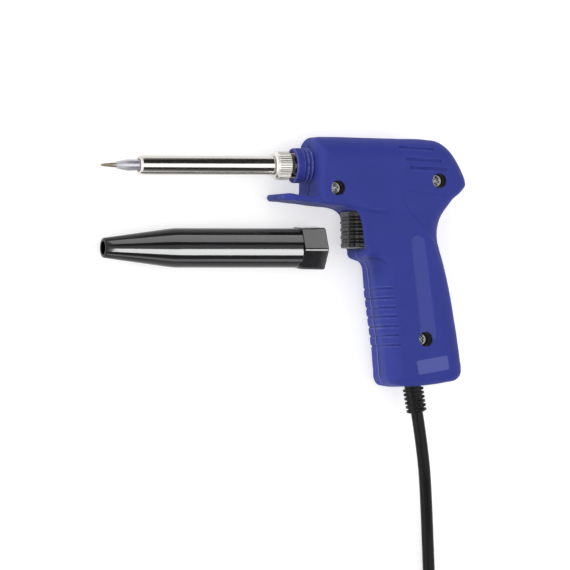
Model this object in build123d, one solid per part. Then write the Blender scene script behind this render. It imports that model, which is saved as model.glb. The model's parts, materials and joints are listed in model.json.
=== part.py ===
from build123d import *
import math
import os

# Pistol-grip soldering iron with its protective cap and mains lead, lying on its right side.
# Working frame "gun": u along the barrel towards the rear, v up the gun, w towards the left side,
# with the barrel axis at v = 0, w = 0 and the front face of the nose at u = 0.
# The finished parts are shifted by (X0, Y0, Z0) so that the floor is Z = 0.

# ---------------------------------------------------------------- driving dimensions (mm)
X0, Y0, Z0 = 17.35, 60.6, 18.5

BODY_W = 18.5          # half thickness of the upper housing
GRIP_W = 16.5          # half thickness of the grip
TOP_R = 13.0           # rounding along the top edge
WALL = 2.2

NECK_R, NECK_L = 9.8, 10.0
SLEEVE_R, SLEEVE_RI, SLEEVE_F = 5.4, 4.7, -100.0
NUT_R, NUT_F, NUT_B = 8.05, -21.3, -12.4
FERRULE_R, THREAD_R = 6.9, 6.45
TIP_END, TIP_SHANK_R = -123.2, 3.15

TRIG_W, TRIG_TOP, TRIG_BOT = 13.8, -25.5, -45.4
TRIG_FRONT_W = 8.4
TRIG_TRAVEL = 3.5

SCREWS = [(10.3, -12.7, BODY_W), (70.2, -8.6, BODY_W), (62.2, -95.9, GRIP_W)]
CBORE_R, CBORE_D, HEAD_R, HEAD_T, SCREW_R = 4.1, 7.2, 3.7, 2.2, 1.5

CAP_V, CAP_Z = -45.2, 13.25
CAP_F, CAP_SH, CAP_COL, CAP_B = -119.2, -77.0, -3.0, 7.7

CORD_D = 6.75
CORD_R = CORD_D / 2
COIL_C = (32.0, -285.0)
COIL_RI, COIL_RO, COIL_Z0, COIL_Z1 = 26.5, 47.6, 0.9, 15.0
RELIEF_TOP = (60.3, -121.8)
RELIEF_DIR = (0.1625, -0.9867)
RELIEF_L = 14.5

OUTLINE = [
    (0, 15.7), (28, 15.4), (50, 14.9), (66, 14.4), (72.5, 13.5), (76, 10.7), (79.6, 7.4),
    (83.1, 1.9), (86.6, -4.7), (88.5, -10), (86, -13.5), (83.1, -16.2), (81.3, -17.3),
    (79.6, -19), (77.8, -21.7), (76, -24.5), (74.2, -27.2), (73.1, -30), (72.3, -33),
    (71.9, -36.5), (71.9, -40), (72.5, -43.7), (73.1, -46.5), (74.2, -49.2), (76, -57.5),
    (77.2, -63), (79.6, -74), (81.3, -85), (83.1, -96), (84.9, -107), (85.4, -112),
    (84.5, -116), (82.5, -118), (75.4, -119.6), (68.4, -120.7), (57.7, -121.8),
    (47.1, -121.3), (42.5, -120.2), (41.2, -117.5), (40.4, -111.7), (39.5, -99.2),
    (37.5, -83.9), (35.3, -67.9), (34.6, -60.7), (33.7, -54.7), (32.5, -52.9),
    (29.9, -51.4), (28.3, -50.2), (27.8, -48.5), (27.0, -46.2), (25.7, -45.4),
    (23.3, -28.8), (19, -24.2), (8.2, -21.9), (0, -20.9),
]

nodes = {}


def put(name, solid):
    """Stores a node, moved from the gun frame to the part frame."""
    nodes[name] = Pos(X0, Y0, Z0) * solid


def floor_put(name, solid):
    """Stores a node whose z is already measured from the floor."""
    nodes[name] = Pos(X0, Y0, 0) * solid


def flat(points, height, both=True):
    face = make_face(Polyline(*[(p[0], p[1], 0) for p in points], close=True))
    return extrude(face, amount=height, both=both)


def along_x(profile_face, u0, u1):
    """Extrudes a sketch drawn as (v, w) along u."""
    plane = Plane(origin=(u0, 0, 0), x_dir=(0, 1, 0), z_dir=(1, 0, 0))
    return extrude(plane * profile_face, amount=u1 - u0)


def ring(r_out, r_in, u0, u1, v=0.0, w=0.0):
    plane = Plane(origin=(u0, v, w), x_dir=(0, 1, 0), z_dir=(1, 0, 0))
    face = Circle(r_out)
    if r_in:
        face = face - Circle(r_in)
    return extrude(plane * face, amount=u1 - u0)


def box(u0, u1, v0, v1, w0, w1):
    return Pos((u0 + u1) / 2, (v0 + v1) / 2, (w0 + w1) / 2) * Box(u1 - u0, v1 - v0, w1 - w0)


def cyl_w(u, v, r, w0, w1):
    return Pos(u, v, (w0 + w1) / 2) * Cylinder(r, w1 - w0)


def tube_between(a, b, r, r_in=0.0):
    a, b = Vector(*a), Vector(*b)
    d = b - a
    plane = Plane(origin=a, z_dir=d)
    face = Circle(r)
    if r_in:
        face = face - Circle(r_in)
    return extrude(plane * face, amount=d.length)


def wire_tube(points, r, radii):
    path = FilletPolyline(*points, radius=radii)
    start = Vector(*points[0])
    plane = Plane(origin=start, z_dir=Vector(*points[1]) - start)
    return sweep(plane * Circle(r), path=path)


def route_radii(points):
    """Arc radius at each inner point: 0.45 of the shorter run over the tangent of half the turn."""
    out = []
    for a, b, c in zip(points, points[1:], points[2:]):
        p, q = Vector(*b) - Vector(*a), Vector(*c) - Vector(*b)
        turn = math.radians(p.get_angle(q))
        out.append(0.45 * min(p.length, q.length) / math.tan(turn / 2))
    return out


# ---------------------------------------------------------------- housing
SKIP = {(83.1, -16.2), (81.3, -17.3), (79.6, -19), (76, -24.5), (28.3, -50.2), (27.8, -48.5),
        (27.0, -46.2), (86, -13.5), (29.9, -51.4), (32.5, -52.9), (84.5, -116), (42.5, -120.2)}


def inset(points, d):
    """Outline moved inwards by d, by mitred vertex shifts on a slightly coarser outline."""
    if not d:
        return make_face(Polyline(*[(p[0], p[1], 0) for p in points], close=True))
    pts = [p for p in points if p not in SKIP]
    out = []
    n = len(pts)
    for i in range(n):
        a, b, c = pts[i - 1], pts[i], pts[(i + 1) % n]
        e1 = (b[0] - a[0], b[1] - a[1])
        e2 = (c[0] - b[0], c[1] - b[1])
        l1, l2 = math.hypot(*e1), math.hypot(*e2)
        n1 = (e1[1] / l1, -e1[0] / l1)
        n2 = (e2[1] / l2, -e2[0] / l2)
        m = (n1[0] + n2[0], n1[1] + n2[1])
        k = d / max(0.35, (m[0] * n1[0] + m[1] * n1[1]))
        out.append((b[0] + m[0] * k, b[1] + m[1] * k, 0))
    return make_face(Polyline(*out, close=True))


def housing_form(d):
    """Outer form of the housing made smaller all round by d."""
    slab = extrude(inset(OUTLINE, d), amount=30, both=True)
    w, top = BODY_W - d, 15.7 - d
    r = TOP_R - d * 0.6
    upper = along_x(
        Pos((top - 27) / 2, 0) * RectangleRounded(top + 27, 2 * w, min(r, w - 0.5)), -1, 95
    ) + along_x(Pos(-14, 0) * RectangleRounded(26 - 2 * d, 2 * w, 3.0), -1, 95)
    upper = upper & box(-5, 99, -25, 40, -40, 40)
    g = GRIP_W - d
    axis = Vector(41.2 - 34.6, -117.5 + 60.7, 0).normalized()
    origin = Vector(34.6, -60.7, 0) - axis * 42
    across = Vector(-axis.Y, axis.X, 0)
    plane = Plane(origin=origin + across * (22 + d), x_dir=across, z_dir=axis)
    grip = extrude(plane * RectangleRounded(44, 2 * g, 9.0 - d * 0.5), amount=115)
    rear = extrude(
        Plane(origin=origin + across * 40, x_dir=across, z_dir=axis)
        * RectangleRounded(40, 2 * g, 11.0),
        amount=115,
    )
    grip = (grip + rear) & box(20, 99, -130, -22, -40, 40)
    lug = Pos(35, -38, 0) * extrude(
        Plane.XZ * RectangleRounded(34, 2 * g, 3.5), amount=16, both=True
    )
    return slab & (upper + grip + lug)


outer = housing_form(0)
inner = housing_form(WALL)

fin = extrude(
    Plane.XZ.offset(14) * Pos(-6.3, 0) * RectangleRounded(28.6, 34, 6.0), amount=10
) & flat([(-20.6, -16.5), (8, -17.2), (8, -21.5), (0, -20.9), (-12.6, -19.5), (-20.6, -18)], 30)
neck = Plane(origin=(-NECK_L, 0, 0), x_dir=(0, 1, 0), z_dir=(1, 0, 0)) * Cylinder(
    NECK_R, NECK_L + 3, align=(Align.CENTER, Align.CENTER, Align.MIN)
)
grooves = [ring(NECK_R + 1, NECK_R - 0.7, u - 0.5, u + 0.5) for u in (-5.5, -3.2, -0.9)]
shell = outer - inner
shell = shell + fin + neck
for g in grooves:
    shell = shell - g
# bulkheads that hold the ferrule flange between them
for u0, u1 in ((2.2, 4.9), (8.1, 10.6)):
    shell = shell + (ring(13.0, 0, u0, u1) & outer)
# grip ribs: shallow finger grooves across the front
for v in (-67.9, -73.2, -78.4, -83.4, -88.7, -93.7, -99.2):
    front = 34.6 + (-60.7 - v) * (6.6 / 56.8)
    shell = shell - box(front - 3, front + 0.8, v - 0.8, v + 0.8, -14, 14)
# neck bore, front recess for the seal ring
shell = shell - ring(7.7, 0, -NECK_L - 1, -2.0)
shell = shell - ring(FERRULE_R + 0.05, 0, -2.5, 12)
shell = shell - box(11.0, 13.5, -9, 9, -9, 9)
# trigger opening
shell = shell - box(15, 30.5, TRIG_BOT - 0.3, TRIG_TOP + 0.3, -TRIG_W - 0.3, TRIG_W + 0.3)
# shallow slots in both sides
slot_floor = housing_form(0.8)
for u0, v0, u1, v1 in ((52.7, -1.4, 74.2, -2.3), (50.5, 3.3, 71.0, 2.2), (47.4, 9.6, 67.0, 8.5)):
    ang = math.degrees(math.atan2(v1 - v0, u1 - u0))
    slot = Pos((u0 + u1) / 2, (v0 + v1) / 2, 0) * Rot(0, 0, ang) * extrude(
        SlotOverall(math.hypot(u1 - u0, v1 - v0), 1.8), amount=30, both=True
    )
    shell = shell - ((slot - slot_floor) & (box(0, 99, -40, 40, 9, 40) + box(0, 99, -40, 40, -40, -9)))
# hole for the strain relief
relief_a = Vector(RELIEF_TOP[0], RELIEF_TOP[1], 0)
relief_d = Vector(RELIEF_DIR[0], RELIEF_DIR[1], 0).normalized()
shell = shell - tube_between(relief_a - relief_d * 8, relief_a + relief_d * 4, 4.75)

left = shell & box(-60, 120, -160, 60, 0, 60)
right = shell & box(-60, 120, -160, 60, -60, 0)
for u, v, w in SCREWS:
    left = left + (cyl_w(u, v, 5.4, 0, w - 1) & outer)
    left = left - cyl_w(u, v, CBORE_R, w - CBORE_D, w + 5) - cyl_w(u, v, SCREW_R + 0.2, -1, w)
    right = right + (cyl_w(u, v, 4.0, -w + 1, 0) & outer)
    right = right - cyl_w(u, v, SCREW_R + 0.05, -9, 1)
# spot facing on the rear of the bulkheads clears the front screw
left = left - ring(FERRULE_R + 0.05, 0, -2.5, 12)
right = right - ring(FERRULE_R + 0.05, 0, -2.5, 12)
left = left - ring(8.1, 0, 4.9, 8.1)
right = right - ring(8.1, 0, 4.9, 8.1)
# two posts for the cord clamp, and a cradle for the cord
for u, v in ((50.6, -107.2), (67.0, -109.9)):
    right = right + cyl_w(u, v, 3.0, -GRIP_W + 1, -2.0) - cyl_w(u, v, 1.3, -9, 1)
put("left_shell", left)
put("right_shell", right)

# ---------------------------------------------------------------- shell screws
screws = []
for u, v, w in SCREWS:
    head = w - CBORE_D
    s = cyl_w(u, v, HEAD_R, head, head + HEAD_T) + cyl_w(u, v, SCREW_R, -7.5, head)
    s = s - box(u - 2.3, u + 2.3, v - 0.4, v + 0.4, head + 1.2, head + 3)
    s = s - box(u - 0.4, u + 0.4, v - 2.3, v + 2.3, head + 1.2, head + 3)
    screws.append(s)
put("shell_screws", Compound(children=[s.solids()[0] for s in screws]))

# ---------------------------------------------------------------- barrel, nut and ferrule
def turned(points):
    """Body of revolution about the barrel axis from (u, r) points."""
    face = make_face(Polyline(*[(u, r, 0) for u, r in points], close=True))
    return revolve(face, axis=Axis.X, revolution_arc=360)


sleeve = turned([
    (SLEEVE_F, 3.5), (SLEEVE_F, 4.7), (SLEEVE_F + 0.8, SLEEVE_R), (-21.5, SLEEVE_R),
    (-21.5, SLEEVE_R - 0.4), (-19.4, SLEEVE_R - 0.4), (-19.4, THREAD_R - 0.1),
    (-17.7, THREAD_R - 0.1), (-17.7, SLEEVE_RI), (SLEEVE_F + 1.0, SLEEVE_RI), (SLEEVE_F + 1.0, 3.5),
])
put("barrel_sleeve", sleeve)
nut = turned([
    (NUT_F, 5.15), (NUT_F, 6.9), (NUT_F + 1.3, NUT_R), (NUT_B, NUT_R), (NUT_B, THREAD_R + 0.05),
    (-19.45, THREAD_R + 0.05), (-19.45, 5.15),
])
put("barrel_nut", nut)
ferrule = turned([
    (-17.6, 5.0), (-17.6, THREAD_R), (-12.6, THREAD_R), (-12.3, 6.2), (-11.0, FERRULE_R),
    (4.95, FERRULE_R), (4.95, 8.0), (8.05, 8.0), (8.05, FERRULE_R), (11.8, FERRULE_R), (11.8, 5.0),
])
put("threaded_ferrule", ferrule)
put("neck_seal_ring", turned([
    (-8.5, FERRULE_R + 0.02), (-8.5, 7.3), (-8.2, 7.68), (-2.1, 7.68), (-2.1, FERRULE_R + 0.02),
]))

tip = turned([
    (TIP_END, 0), (TIP_END, 0.45), (TIP_END + 0.4, 0.7), (-113.2, 1.55), (-113.0, 2.0), (-110.5, 2.65),
    (-108, 3.05), (-106, 3.25), (-103, TIP_SHANK_R), (-98.95, TIP_SHANK_R), (-98.95, 4.3), (-97.2, 4.3),
    (-97.2, 2.95), (-62, 2.95), (-62, 0),
])
put("soldering_tip", tip)
put("heating_element", turned([(-97.1, 3.0), (-97.1, 4.35), (-26, 4.35), (-26, 3.0)]))
put("mica_wrap", turned([(-97.1, 4.4), (-97.1, 4.66), (-18.5, 4.66), (-18.5, 4.4)]))
bush = turned([(-25.9, 0.0), (-25.9, 4.35), (-13, 4.35), (-13, 4.9), (-10, 4.9), (-10, 0.0)])
for v in (-2.0, 2.0):
    bush = bush - ring(0.75, 0, -27, -8, v)
put("element_insulator", bush)

# ---------------------------------------------------------------- trigger, switch and spring
# plan of the button: narrow ribbed front, sides that sweep out to the full width of the opening
side = [(22.4, TRIG_FRONT_W), (24.2, 11.4), (26.6, 13.3), (28.6, TRIG_W), (31.0, TRIG_W)]
plan = Plane(origin=(0, TRIG_BOT + 0.3, 0), x_dir=(1, 0, 0), z_dir=(0, 1, 0)) * make_face(
    Polyline(*(side + [(u, -w) for u, w in reversed(side)]), close=True))
trigger = extrude(plan, amount=TRIG_TOP - TRIG_BOT - 0.5)
for i, v in enumerate((-27.6, -31.0, -35.0, -39.3, -43.1)):
    r = 2.1 if i in (0, 4) else 2.35
    trigger = trigger + cyl_w(20.6 + 0.13 * i / 4 + r, v, r, -TRIG_FRONT_W, TRIG_FRONT_W)
trigger = trigger & box(10, 60, TRIG_BOT, TRIG_TOP, -30, 30)
trigger = trigger + box(30.9, 33.4, TRIG_BOT - 1.6, TRIG_TOP - 0.6, -TRIG_W, TRIG_W)
trigger = trigger + ring(2.6, 0, 33.3, 42.5, -35.5)
put("trigger", trigger)

SW_V = -35.5
switch = box(46.5, 60.5, SW_V - 10, SW_V + 10, -4, 4) - ring(2.1, 0, 46, 54.5, SW_V)
switch = switch - cyl_w(53.5, SW_V - 7, 1.6, -5, 5) - cyl_w(53.5, SW_V + 7, 1.6, -5, 5)
for dv in (-7.5, 0, 7.5):
    switch = switch + box(60.4, 65.5, SW_V + dv - 0.4, SW_V + dv + 0.4, -2.4, 2.4)
put("switch_body", switch)
pegs = cyl_w(53.5, SW_V - 7, 1.55, -14.25, 4.5) + cyl_w(53.5, SW_V + 7, 1.55, -14.25, 4.5)
put("switch_pins", Compound(children=[s for s in pegs.solids()]))
put("switch_plunger", ring(2.0, 0, 42.6, 50.5, SW_V))

helix = Plane(origin=(34.2, SW_V, 0), x_dir=(0, 1, 0), z_dir=(1, 0, 0)) * Helix(
    pitch=1.7, height=11.4, radius=4.0
)
start = helix @ 0
spring = sweep(Plane(origin=start, z_dir=helix % 0) * Circle(0.45), path=helix, is_frenet=True)
put("trigger_spring", spring)

put("power_diode", tube_between((67.2, -40.5, 6.5), (67.2, -30.5, 6.5), 2.4)
    + tube_between((67.2, -44.0, 6.5), (67.2, -27.7, 6.5), 0.45))

# ---------------------------------------------------------------- terminal block and wiring
block = box(50, 66, -80, -66, -11.5, -2.5)
for u in (54, 62):
    block = block - cyl_w(u, -70, 2.2, -6, 0) - cyl_w(u, -76, 2.2, -6, 0)
put("terminal_block", block)
tscrews = []
for u in (54, 62):
    for v in (-70, -76):
        tscrews.append((cyl_w(u, v, 2.1, -5.9, -3.6) - box(u - 1.8, u + 1.8, v - 0.35, v + 0.35, -4.4, -3)).solids()[0])
put("terminal_screws", Compound(children=tscrews))

R_WIRE = 1.1
inner_a = relief_a + relief_d * RELIEF_L
inner_b = relief_a - relief_d * 17
put("cord_inner_end", tube_between(tuple(inner_a), tuple(inner_b), CORD_R))
clamp_u, clamp_v = (relief_a - relief_d * 13.3).X, (relief_a - relief_d * 13.3).Y
bar = (Pos(clamp_u, clamp_v, 0) * Rot(0, 0, -9.35) * Box(22.5, 5.5, 3.0)).moved(Location((0, 0, 5.0)))
bar = bar - cyl_w(50.6, -107.2, 1.6, 0, 10) - cyl_w(67.0, -109.9, 1.6, 0, 10)
put("cord_clamp", bar)
csc = []
for u, v in ((50.6, -107.2), (67.0, -109.9)):
    csc.append((cyl_w(u, v, 2.6, 6.55, 8.4) + cyl_w(u, v, 1.25, -8, 6.6)
                - box(u - 2.0, u + 2.0, v - 0.35, v + 0.35, 7.6, 9)).solids()[0])
put("clamp_screws", Compound(children=csc))

exit_in = inner_b - relief_d * 0.3
ex, ey = exit_in.X, exit_in.Y


def inner_wire(name, pts, r=R_WIRE):
    put(name, wire_tube(pts, r, [k * 0.85 for k in route_radii(pts)]))


inner_wire("live_wire", [(ex + 1.8, ey + 0.4, -0.9), (55.0, -96, -0.5), (58, -83, 1.2), (66.6, -62, 3.0), (67.2, -46.4, 5.0), (67.2, -44.2, 6.4)])
inner_wire("neutral_wire", [(ex - 1.8, ey, -0.9), (ex - 3.0, ey + 8, -3.8), (54.0, -87.0, -7.6), (54.0, -80.3, -8.6)])
inner_wire("earth_wire", [(ex, ey + 0.2, 1.9), (ex - 3.5, ey + 9, 6.0), (46.0, -84, 9.0), (44.0, -60, 9.2), (45.0, -32, 9.0), (36.0, -12.0, 9.0), (27.0, 2.5, 8.0), (21.5, 5.9, 6.4), (16.6, 5.9, 5.9)])
put("earth_tag", box(11.9, 12.9, 3.4, 8.4, 3.4, 8.4) + box(12.8, 16.5, 4.6, 7.2, 4.6, 7.2))
inner_wire("element_lead_a", [(-20, 2.0, 0.0), (14, 2.05, 0.0), (34, 1.0, -4.0), (64.5, -10.0, -6.0), (67.6, -20, -2.0), (67.3, -27.3, 6.0)], 0.7)
inner_wire("element_lead_b", [(-20, -2.0, 0.0), (14, -2.05, 0.0), (34, -6.0, -6.0), (44, -26.0, -8.5), (46.5, -48, -9.0), (60.5, -58.0, -9.0), (62.0, -65.8, -8.8)], 0.7)

# ---------------------------------------------------------------- strain relief
relief = tube_between(tuple(relief_a - relief_d * 3.2), tuple(relief_a - relief_d * 5.4), 6.6, CORD_R + 0.05)
relief = relief + tube_between(tuple(relief_a - relief_d * 3.4), tuple(relief_a + relief_d * RELIEF_L), 4.7, CORD_R + 0.05)
for i in range(6):
    s = 0.95 + 2.3 * i
    relief = relief + tube_between(tuple(relief_a + relief_d * s), tuple(relief_a + relief_d * (s + 1.5)), 5.75, CORD_R + 0.05)
put("strain_relief", relief)

# ---------------------------------------------------------------- protective cap
cap = turned([
    (CAP_F, 3.7), (CAP_F, 5.0), (CAP_F + 0.5, 5.5), (CAP_SH, 10.9), (CAP_COL, 10.9), (CAP_COL, 9.4),
    (CAP_SH, 9.4), (CAP_F + 2.2, 3.7),
])
p0 = Plane(origin=(CAP_COL - 0.5, 0, 0), x_dir=(0, 0, 1), z_dir=(1, 0, 0))
p1 = Plane(origin=(CAP_B, 0, 0), x_dir=(0, 0, 1), z_dir=(1, 0, 0))
collar = loft([p0 * RegularPolygon(12.6, 6), p1 * RegularPolygon(13.25, 6)])
collar = collar - ring(9.4, 0, CAP_COL - 1, CAP_COL + 1) - ring(9.95, 0, CAP_COL + 0.5, CAP_B + 1)
cap = cap + collar
nodes["protective_cap"] = Pos(X0, Y0 + CAP_V, CAP_Z) * cap

# ---------------------------------------------------------------- mains lead
LEAD = [
    (inner_a.X, inner_a.Y, Z0), (66.6, -159.8, 18.0), (70.6, -186.0, 11.4), (73.9, -214.5, 5.2),
    (75.7, -249.0, 3.6), (76.0, -285.0, 4.3),
]
TAIL = [(32.0, -329.0, 11.2), (8.0, -329.6, 12.2), (-14.0, -331.2, 16.2), (-34.0, -332.0, 18.5)]
radii_lead, radii_tail = route_radii(LEAD), route_radii(TAIL)
print("lead arc radii mm:", [round(r, 1) for r in radii_lead])
print("tail arc radii mm:", [round(r, 1) for r in radii_tail])
coil_face = Circle(COIL_RO) - Circle(COIL_RI)
coil = Pos(COIL_C[0], COIL_C[1], COIL_Z0) * extrude(coil_face, amount=COIL_Z1 - COIL_Z0)
for name, pts, radii in (("cord_lead", LEAD, radii_lead), ("cord_tail", TAIL, radii_tail)):
    path = FilletPolyline(*pts, radius=radii)
    plane = Plane(origin=Vector(*pts[0]), z_dir=Vector(*pts[1]) - Vector(*pts[0]))
    tube = sweep(plane * Circle(CORD_R), path=path)
    print(name, "length mm", round(path.length, 1), "volume ratio",
          round(tube.volume / (math.pi * CORD_R ** 2 * path.length), 4))
    floor_put(name, tube - coil)
floor_put("cord_coil", coil)
ties = []
for ang in (100.0, 215.0):
    t = Pos(37.05, 0, 0) * (Pos(0, 0, 7.95) * Box(23.6, 6, 15.9) - Pos(0, 0, 7.95) * Box(21.6, 8, 14.3))
    ties.append(Pos(COIL_C[0], COIL_C[1], 0) * Rot(0, 0, ang) * t)
floor_put("coil_ties", Compound(children=[t.solids()[0] for t in ties]))

PLUG_U, PLUG_V, PLUG_R = -34.0, -332.0, 18.5
def plug_turned(points):
    face = make_face(Polyline(*[(-u, r, 0) for u, r in points], close=True))
    return Pos(PLUG_U, PLUG_V, PLUG_R) * revolve(face, axis=Axis.X, revolution_arc=360)


plug = plug_turned([(0.0, 0), (0.0, 4.6), (8, 6.6), (14, 10.5), (17, PLUG_R - 0.6), (18.5, PLUG_R),
                    (36.0, PLUG_R), (37.0, PLUG_R - 1.0), (37.0, 0)])
flat_cut = Pos(PLUG_U - 27, PLUG_V, PLUG_R) * (Box(30, 40, 9) - Box(40, 34.4, 20))
plug = plug - flat_cut
plug = plug - Pos(PLUG_U - 34, PLUG_V, PLUG_R) * Box(8, 8, 40) + Pos(PLUG_U - 34, PLUG_V, PLUG_R) * Box(6, 8, 33)
plug_pins = []
for dz in (-9.5, 9.5):
    pin_plane = Plane(origin=(PLUG_U - 37.0 + 6, PLUG_V + dz, PLUG_R), x_dir=(0, 1, 0), z_dir=(-1, 0, 0))
    hole = extrude(pin_plane * Circle(2.02), amount=7)
    plug = plug - hole
    pin = extrude(pin_plane * Circle(2.0), amount=6.4) + extrude(pin_plane.offset(6.3) * Circle(2.4), amount=18.7)
    plug_pins.append(pin.solids()[0])
floor_put("plug_body", plug)
floor_put("plug_pins", Compound(children=plug_pins))
clips = []
for s in (-1, 1):
    clips.append((Pos(PLUG_U - 34.2, PLUG_V, PLUG_R + s * 17.0) * Box(5.4, 4.6, 0.8)).solids()[0])
floor_put("plug_earth_clips", Compound(children=clips))

for name, shape in nodes.items():
    solids = shape.solids()
    keep = solids[0] if len(solids) == 1 else Compound(children=list(solids))
    export_step(keep, f"parts/{name}.step")
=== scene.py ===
import bpy
import json
import math
import numpy as np
from mathutils import Matrix, Vector

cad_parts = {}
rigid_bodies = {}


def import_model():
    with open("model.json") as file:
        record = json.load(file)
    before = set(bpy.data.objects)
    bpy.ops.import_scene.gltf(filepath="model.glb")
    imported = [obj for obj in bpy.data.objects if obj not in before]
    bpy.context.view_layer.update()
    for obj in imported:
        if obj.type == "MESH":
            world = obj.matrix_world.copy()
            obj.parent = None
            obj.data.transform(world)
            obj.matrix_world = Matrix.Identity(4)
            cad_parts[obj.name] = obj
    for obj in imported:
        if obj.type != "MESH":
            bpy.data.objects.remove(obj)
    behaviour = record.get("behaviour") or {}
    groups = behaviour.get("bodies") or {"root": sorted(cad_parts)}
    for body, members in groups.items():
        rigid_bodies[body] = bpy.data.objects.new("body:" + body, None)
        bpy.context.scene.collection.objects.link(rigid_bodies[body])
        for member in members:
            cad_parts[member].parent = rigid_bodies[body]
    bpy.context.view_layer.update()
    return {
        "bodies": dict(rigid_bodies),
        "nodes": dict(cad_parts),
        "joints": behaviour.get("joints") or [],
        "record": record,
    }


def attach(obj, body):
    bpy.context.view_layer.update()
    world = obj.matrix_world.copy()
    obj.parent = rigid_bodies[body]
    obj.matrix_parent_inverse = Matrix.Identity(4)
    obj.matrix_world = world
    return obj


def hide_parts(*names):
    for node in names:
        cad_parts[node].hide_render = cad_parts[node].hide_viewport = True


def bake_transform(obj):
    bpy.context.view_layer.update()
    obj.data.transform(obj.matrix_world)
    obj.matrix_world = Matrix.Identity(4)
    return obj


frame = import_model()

# Gun frame to part frame: u along the barrel rearwards, v up the gun, w to the left side, mm.
X0, Y0, Z0 = 17.35, 60.6, 18.5
MM = 0.001


def to_m(p):
    """Points in the gun frame, in mm, as metres in the part frame."""
    p = np.asarray(p, dtype=float)
    return (p + np.array([X0, Y0, Z0])) * MM


# ------------------------------------------------------------------ camera
TILT, RISE = math.radians(21.0), math.radians(-1.3)
away = Vector((-math.sin(TILT) * math.cos(RISE), math.sin(RISE), math.cos(TILT) * math.cos(RISE)))
right = Vector((math.cos(TILT), 0.0, math.sin(TILT)))
up = away.cross(right).normalized()
roll = -math.atan2(up.x, right.x)          # keeps the barrel level in the picture
right, up = right * math.cos(roll) - up * math.sin(roll), up * math.cos(roll) + right * math.sin(roll)
FRAME_W = 570 * 0.55 * MM
DIST = 6.0
target = Vector(to_m((-14.7, -65.7, 0.0)))
cam_data = bpy.data.cameras.new("camera")
cam = bpy.data.objects.new("camera", cam_data)
bpy.context.scene.collection.objects.link(cam)
cam.matrix_world = Matrix.Translation(target + away * DIST) @ Matrix((right, up, away)).transposed().to_4x4()
cam_data.type = "PERSP"
cam_data.sensor_width = 36.0
cam_data.angle = 2 * math.atan(FRAME_W / 2 / DIST)
cam_data.clip_start = 0.05
cam_data.clip_end = 30
bpy.context.scene.camera = cam
bpy.context.scene.view_settings.view_transform = "Standard"

# ------------------------------------------------------------------ materials
def srgb(r, g, b):
    def lin(c):
        c = c / 255.0
        return c / 12.92 if c <= 0.04045 else ((c + 0.055) / 1.055) ** 2.4
    return (lin(r), lin(g), lin(b), 1.0)


class Mat:
    """A Principled material with helpers for object-space procedural detail."""

    def __init__(self, name, base, rough=0.5, metallic=0.0, coat=0.0, spec=None):
        self.m = bpy.data.materials.new(name)
        self.m.use_nodes = True
        self.t = self.m.node_tree
        self.b = self.t.nodes["Principled BSDF"]
        self.b.inputs["Base Color"].default_value = base
        self.b.inputs["Roughness"].default_value = rough
        self.b.inputs["Metallic"].default_value = metallic
        if coat:
            self.b.inputs["Coat Weight"].default_value = coat
            self.b.inputs["Coat Roughness"].default_value = 0.08
        if spec is not None:
            self.b.inputs["Specular IOR Level"].default_value = spec
        self.base = base
        self.co = self.t.nodes.new("ShaderNodeTexCoord").outputs["Object"]

    def node(self, kind, **inputs):
        n = self.t.nodes.new(kind)
        for k, v in inputs.items():
            n.inputs[k.replace("_", " ")].default_value = v
        return n

    def link(self, a, b):
        self.t.links.new(a, b)

    def scaled(self, sx=1.0, sy=1.0, sz=1.0):
        m = self.node("ShaderNodeMapping")
        m.inputs["Scale"].default_value = (sx, sy, sz)
        self.link(self.co, m.inputs["Vector"])
        return m.outputs["Vector"]

    def noise(self, scale, detail=3.0, rough=0.5, vec=None):
        n = self.node("ShaderNodeTexNoise", Scale=scale, Detail=detail, Roughness=rough)
        self.link(vec or self.co, n.inputs["Vector"])
        return n.outputs["Fac"]

    def remap(self, fac, a, b, lo=0.3, hi=0.7):
        n = self.node("ShaderNodeMapRange")
        n.inputs["From Min"].default_value = lo
        n.inputs["From Max"].default_value = hi
        n.inputs["To Min"].default_value = a
        n.inputs["To Max"].default_value = b
        self.link(fac, n.inputs["Value"])
        return n.outputs["Result"]

    def ramp(self, fac, stops):
        n = self.node("ShaderNodeValToRGB")
        e = n.color_ramp.elements
        while len(e) < len(stops):
            e.new(0.5)
        for s, (p, c) in zip(e, stops):
            s.position = p
            s.color = c
        self.link(fac, n.inputs["Fac"])
        return n.outputs["Color"]

    def color(self, out):
        self.link(out, self.b.inputs["Base Color"])

    def vary(self, scale, amount, detail=4.0):
        """Base colour a little lighter and darker in soft patches."""
        c = self.base
        lo = tuple(x * (1 - amount) for x in c[:3]) + (1.0,)
        hi = tuple(min(1.0, x * (1 + amount)) for x in c[:3]) + (1.0,)
        self.color(self.ramp(self.noise(scale, detail), [(0.32, lo), (0.68, hi)]))

    def rough(self, scale, a, b, detail=4.0, vec=None):
        self.link(self.remap(self.noise(scale, detail, vec=vec), a, b), self.b.inputs["Roughness"])

    def bump(self, heights, dist, strength=1.0):
        """heights: list of (output, weight)."""
        total = None
        for out, w in heights:
            m = self.node("ShaderNodeMath")
            m.operation = "MULTIPLY"
            m.inputs[1].default_value = w
            self.link(out, m.inputs[0])
            if total is None:
                total = m.outputs[0]
            else:
                a = self.node("ShaderNodeMath")
                a.operation = "ADD"
                self.link(total, a.inputs[0])
                self.link(m.outputs[0], a.inputs[1])
                total = a.outputs[0]
        n = self.node("ShaderNodeBump")
        n.inputs["Strength"].default_value = strength
        n.inputs["Distance"].default_value = dist
        self.link(total, n.inputs["Height"])
        self.link(n.outputs["Normal"], self.b.inputs["Normal"])


M = {}


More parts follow.
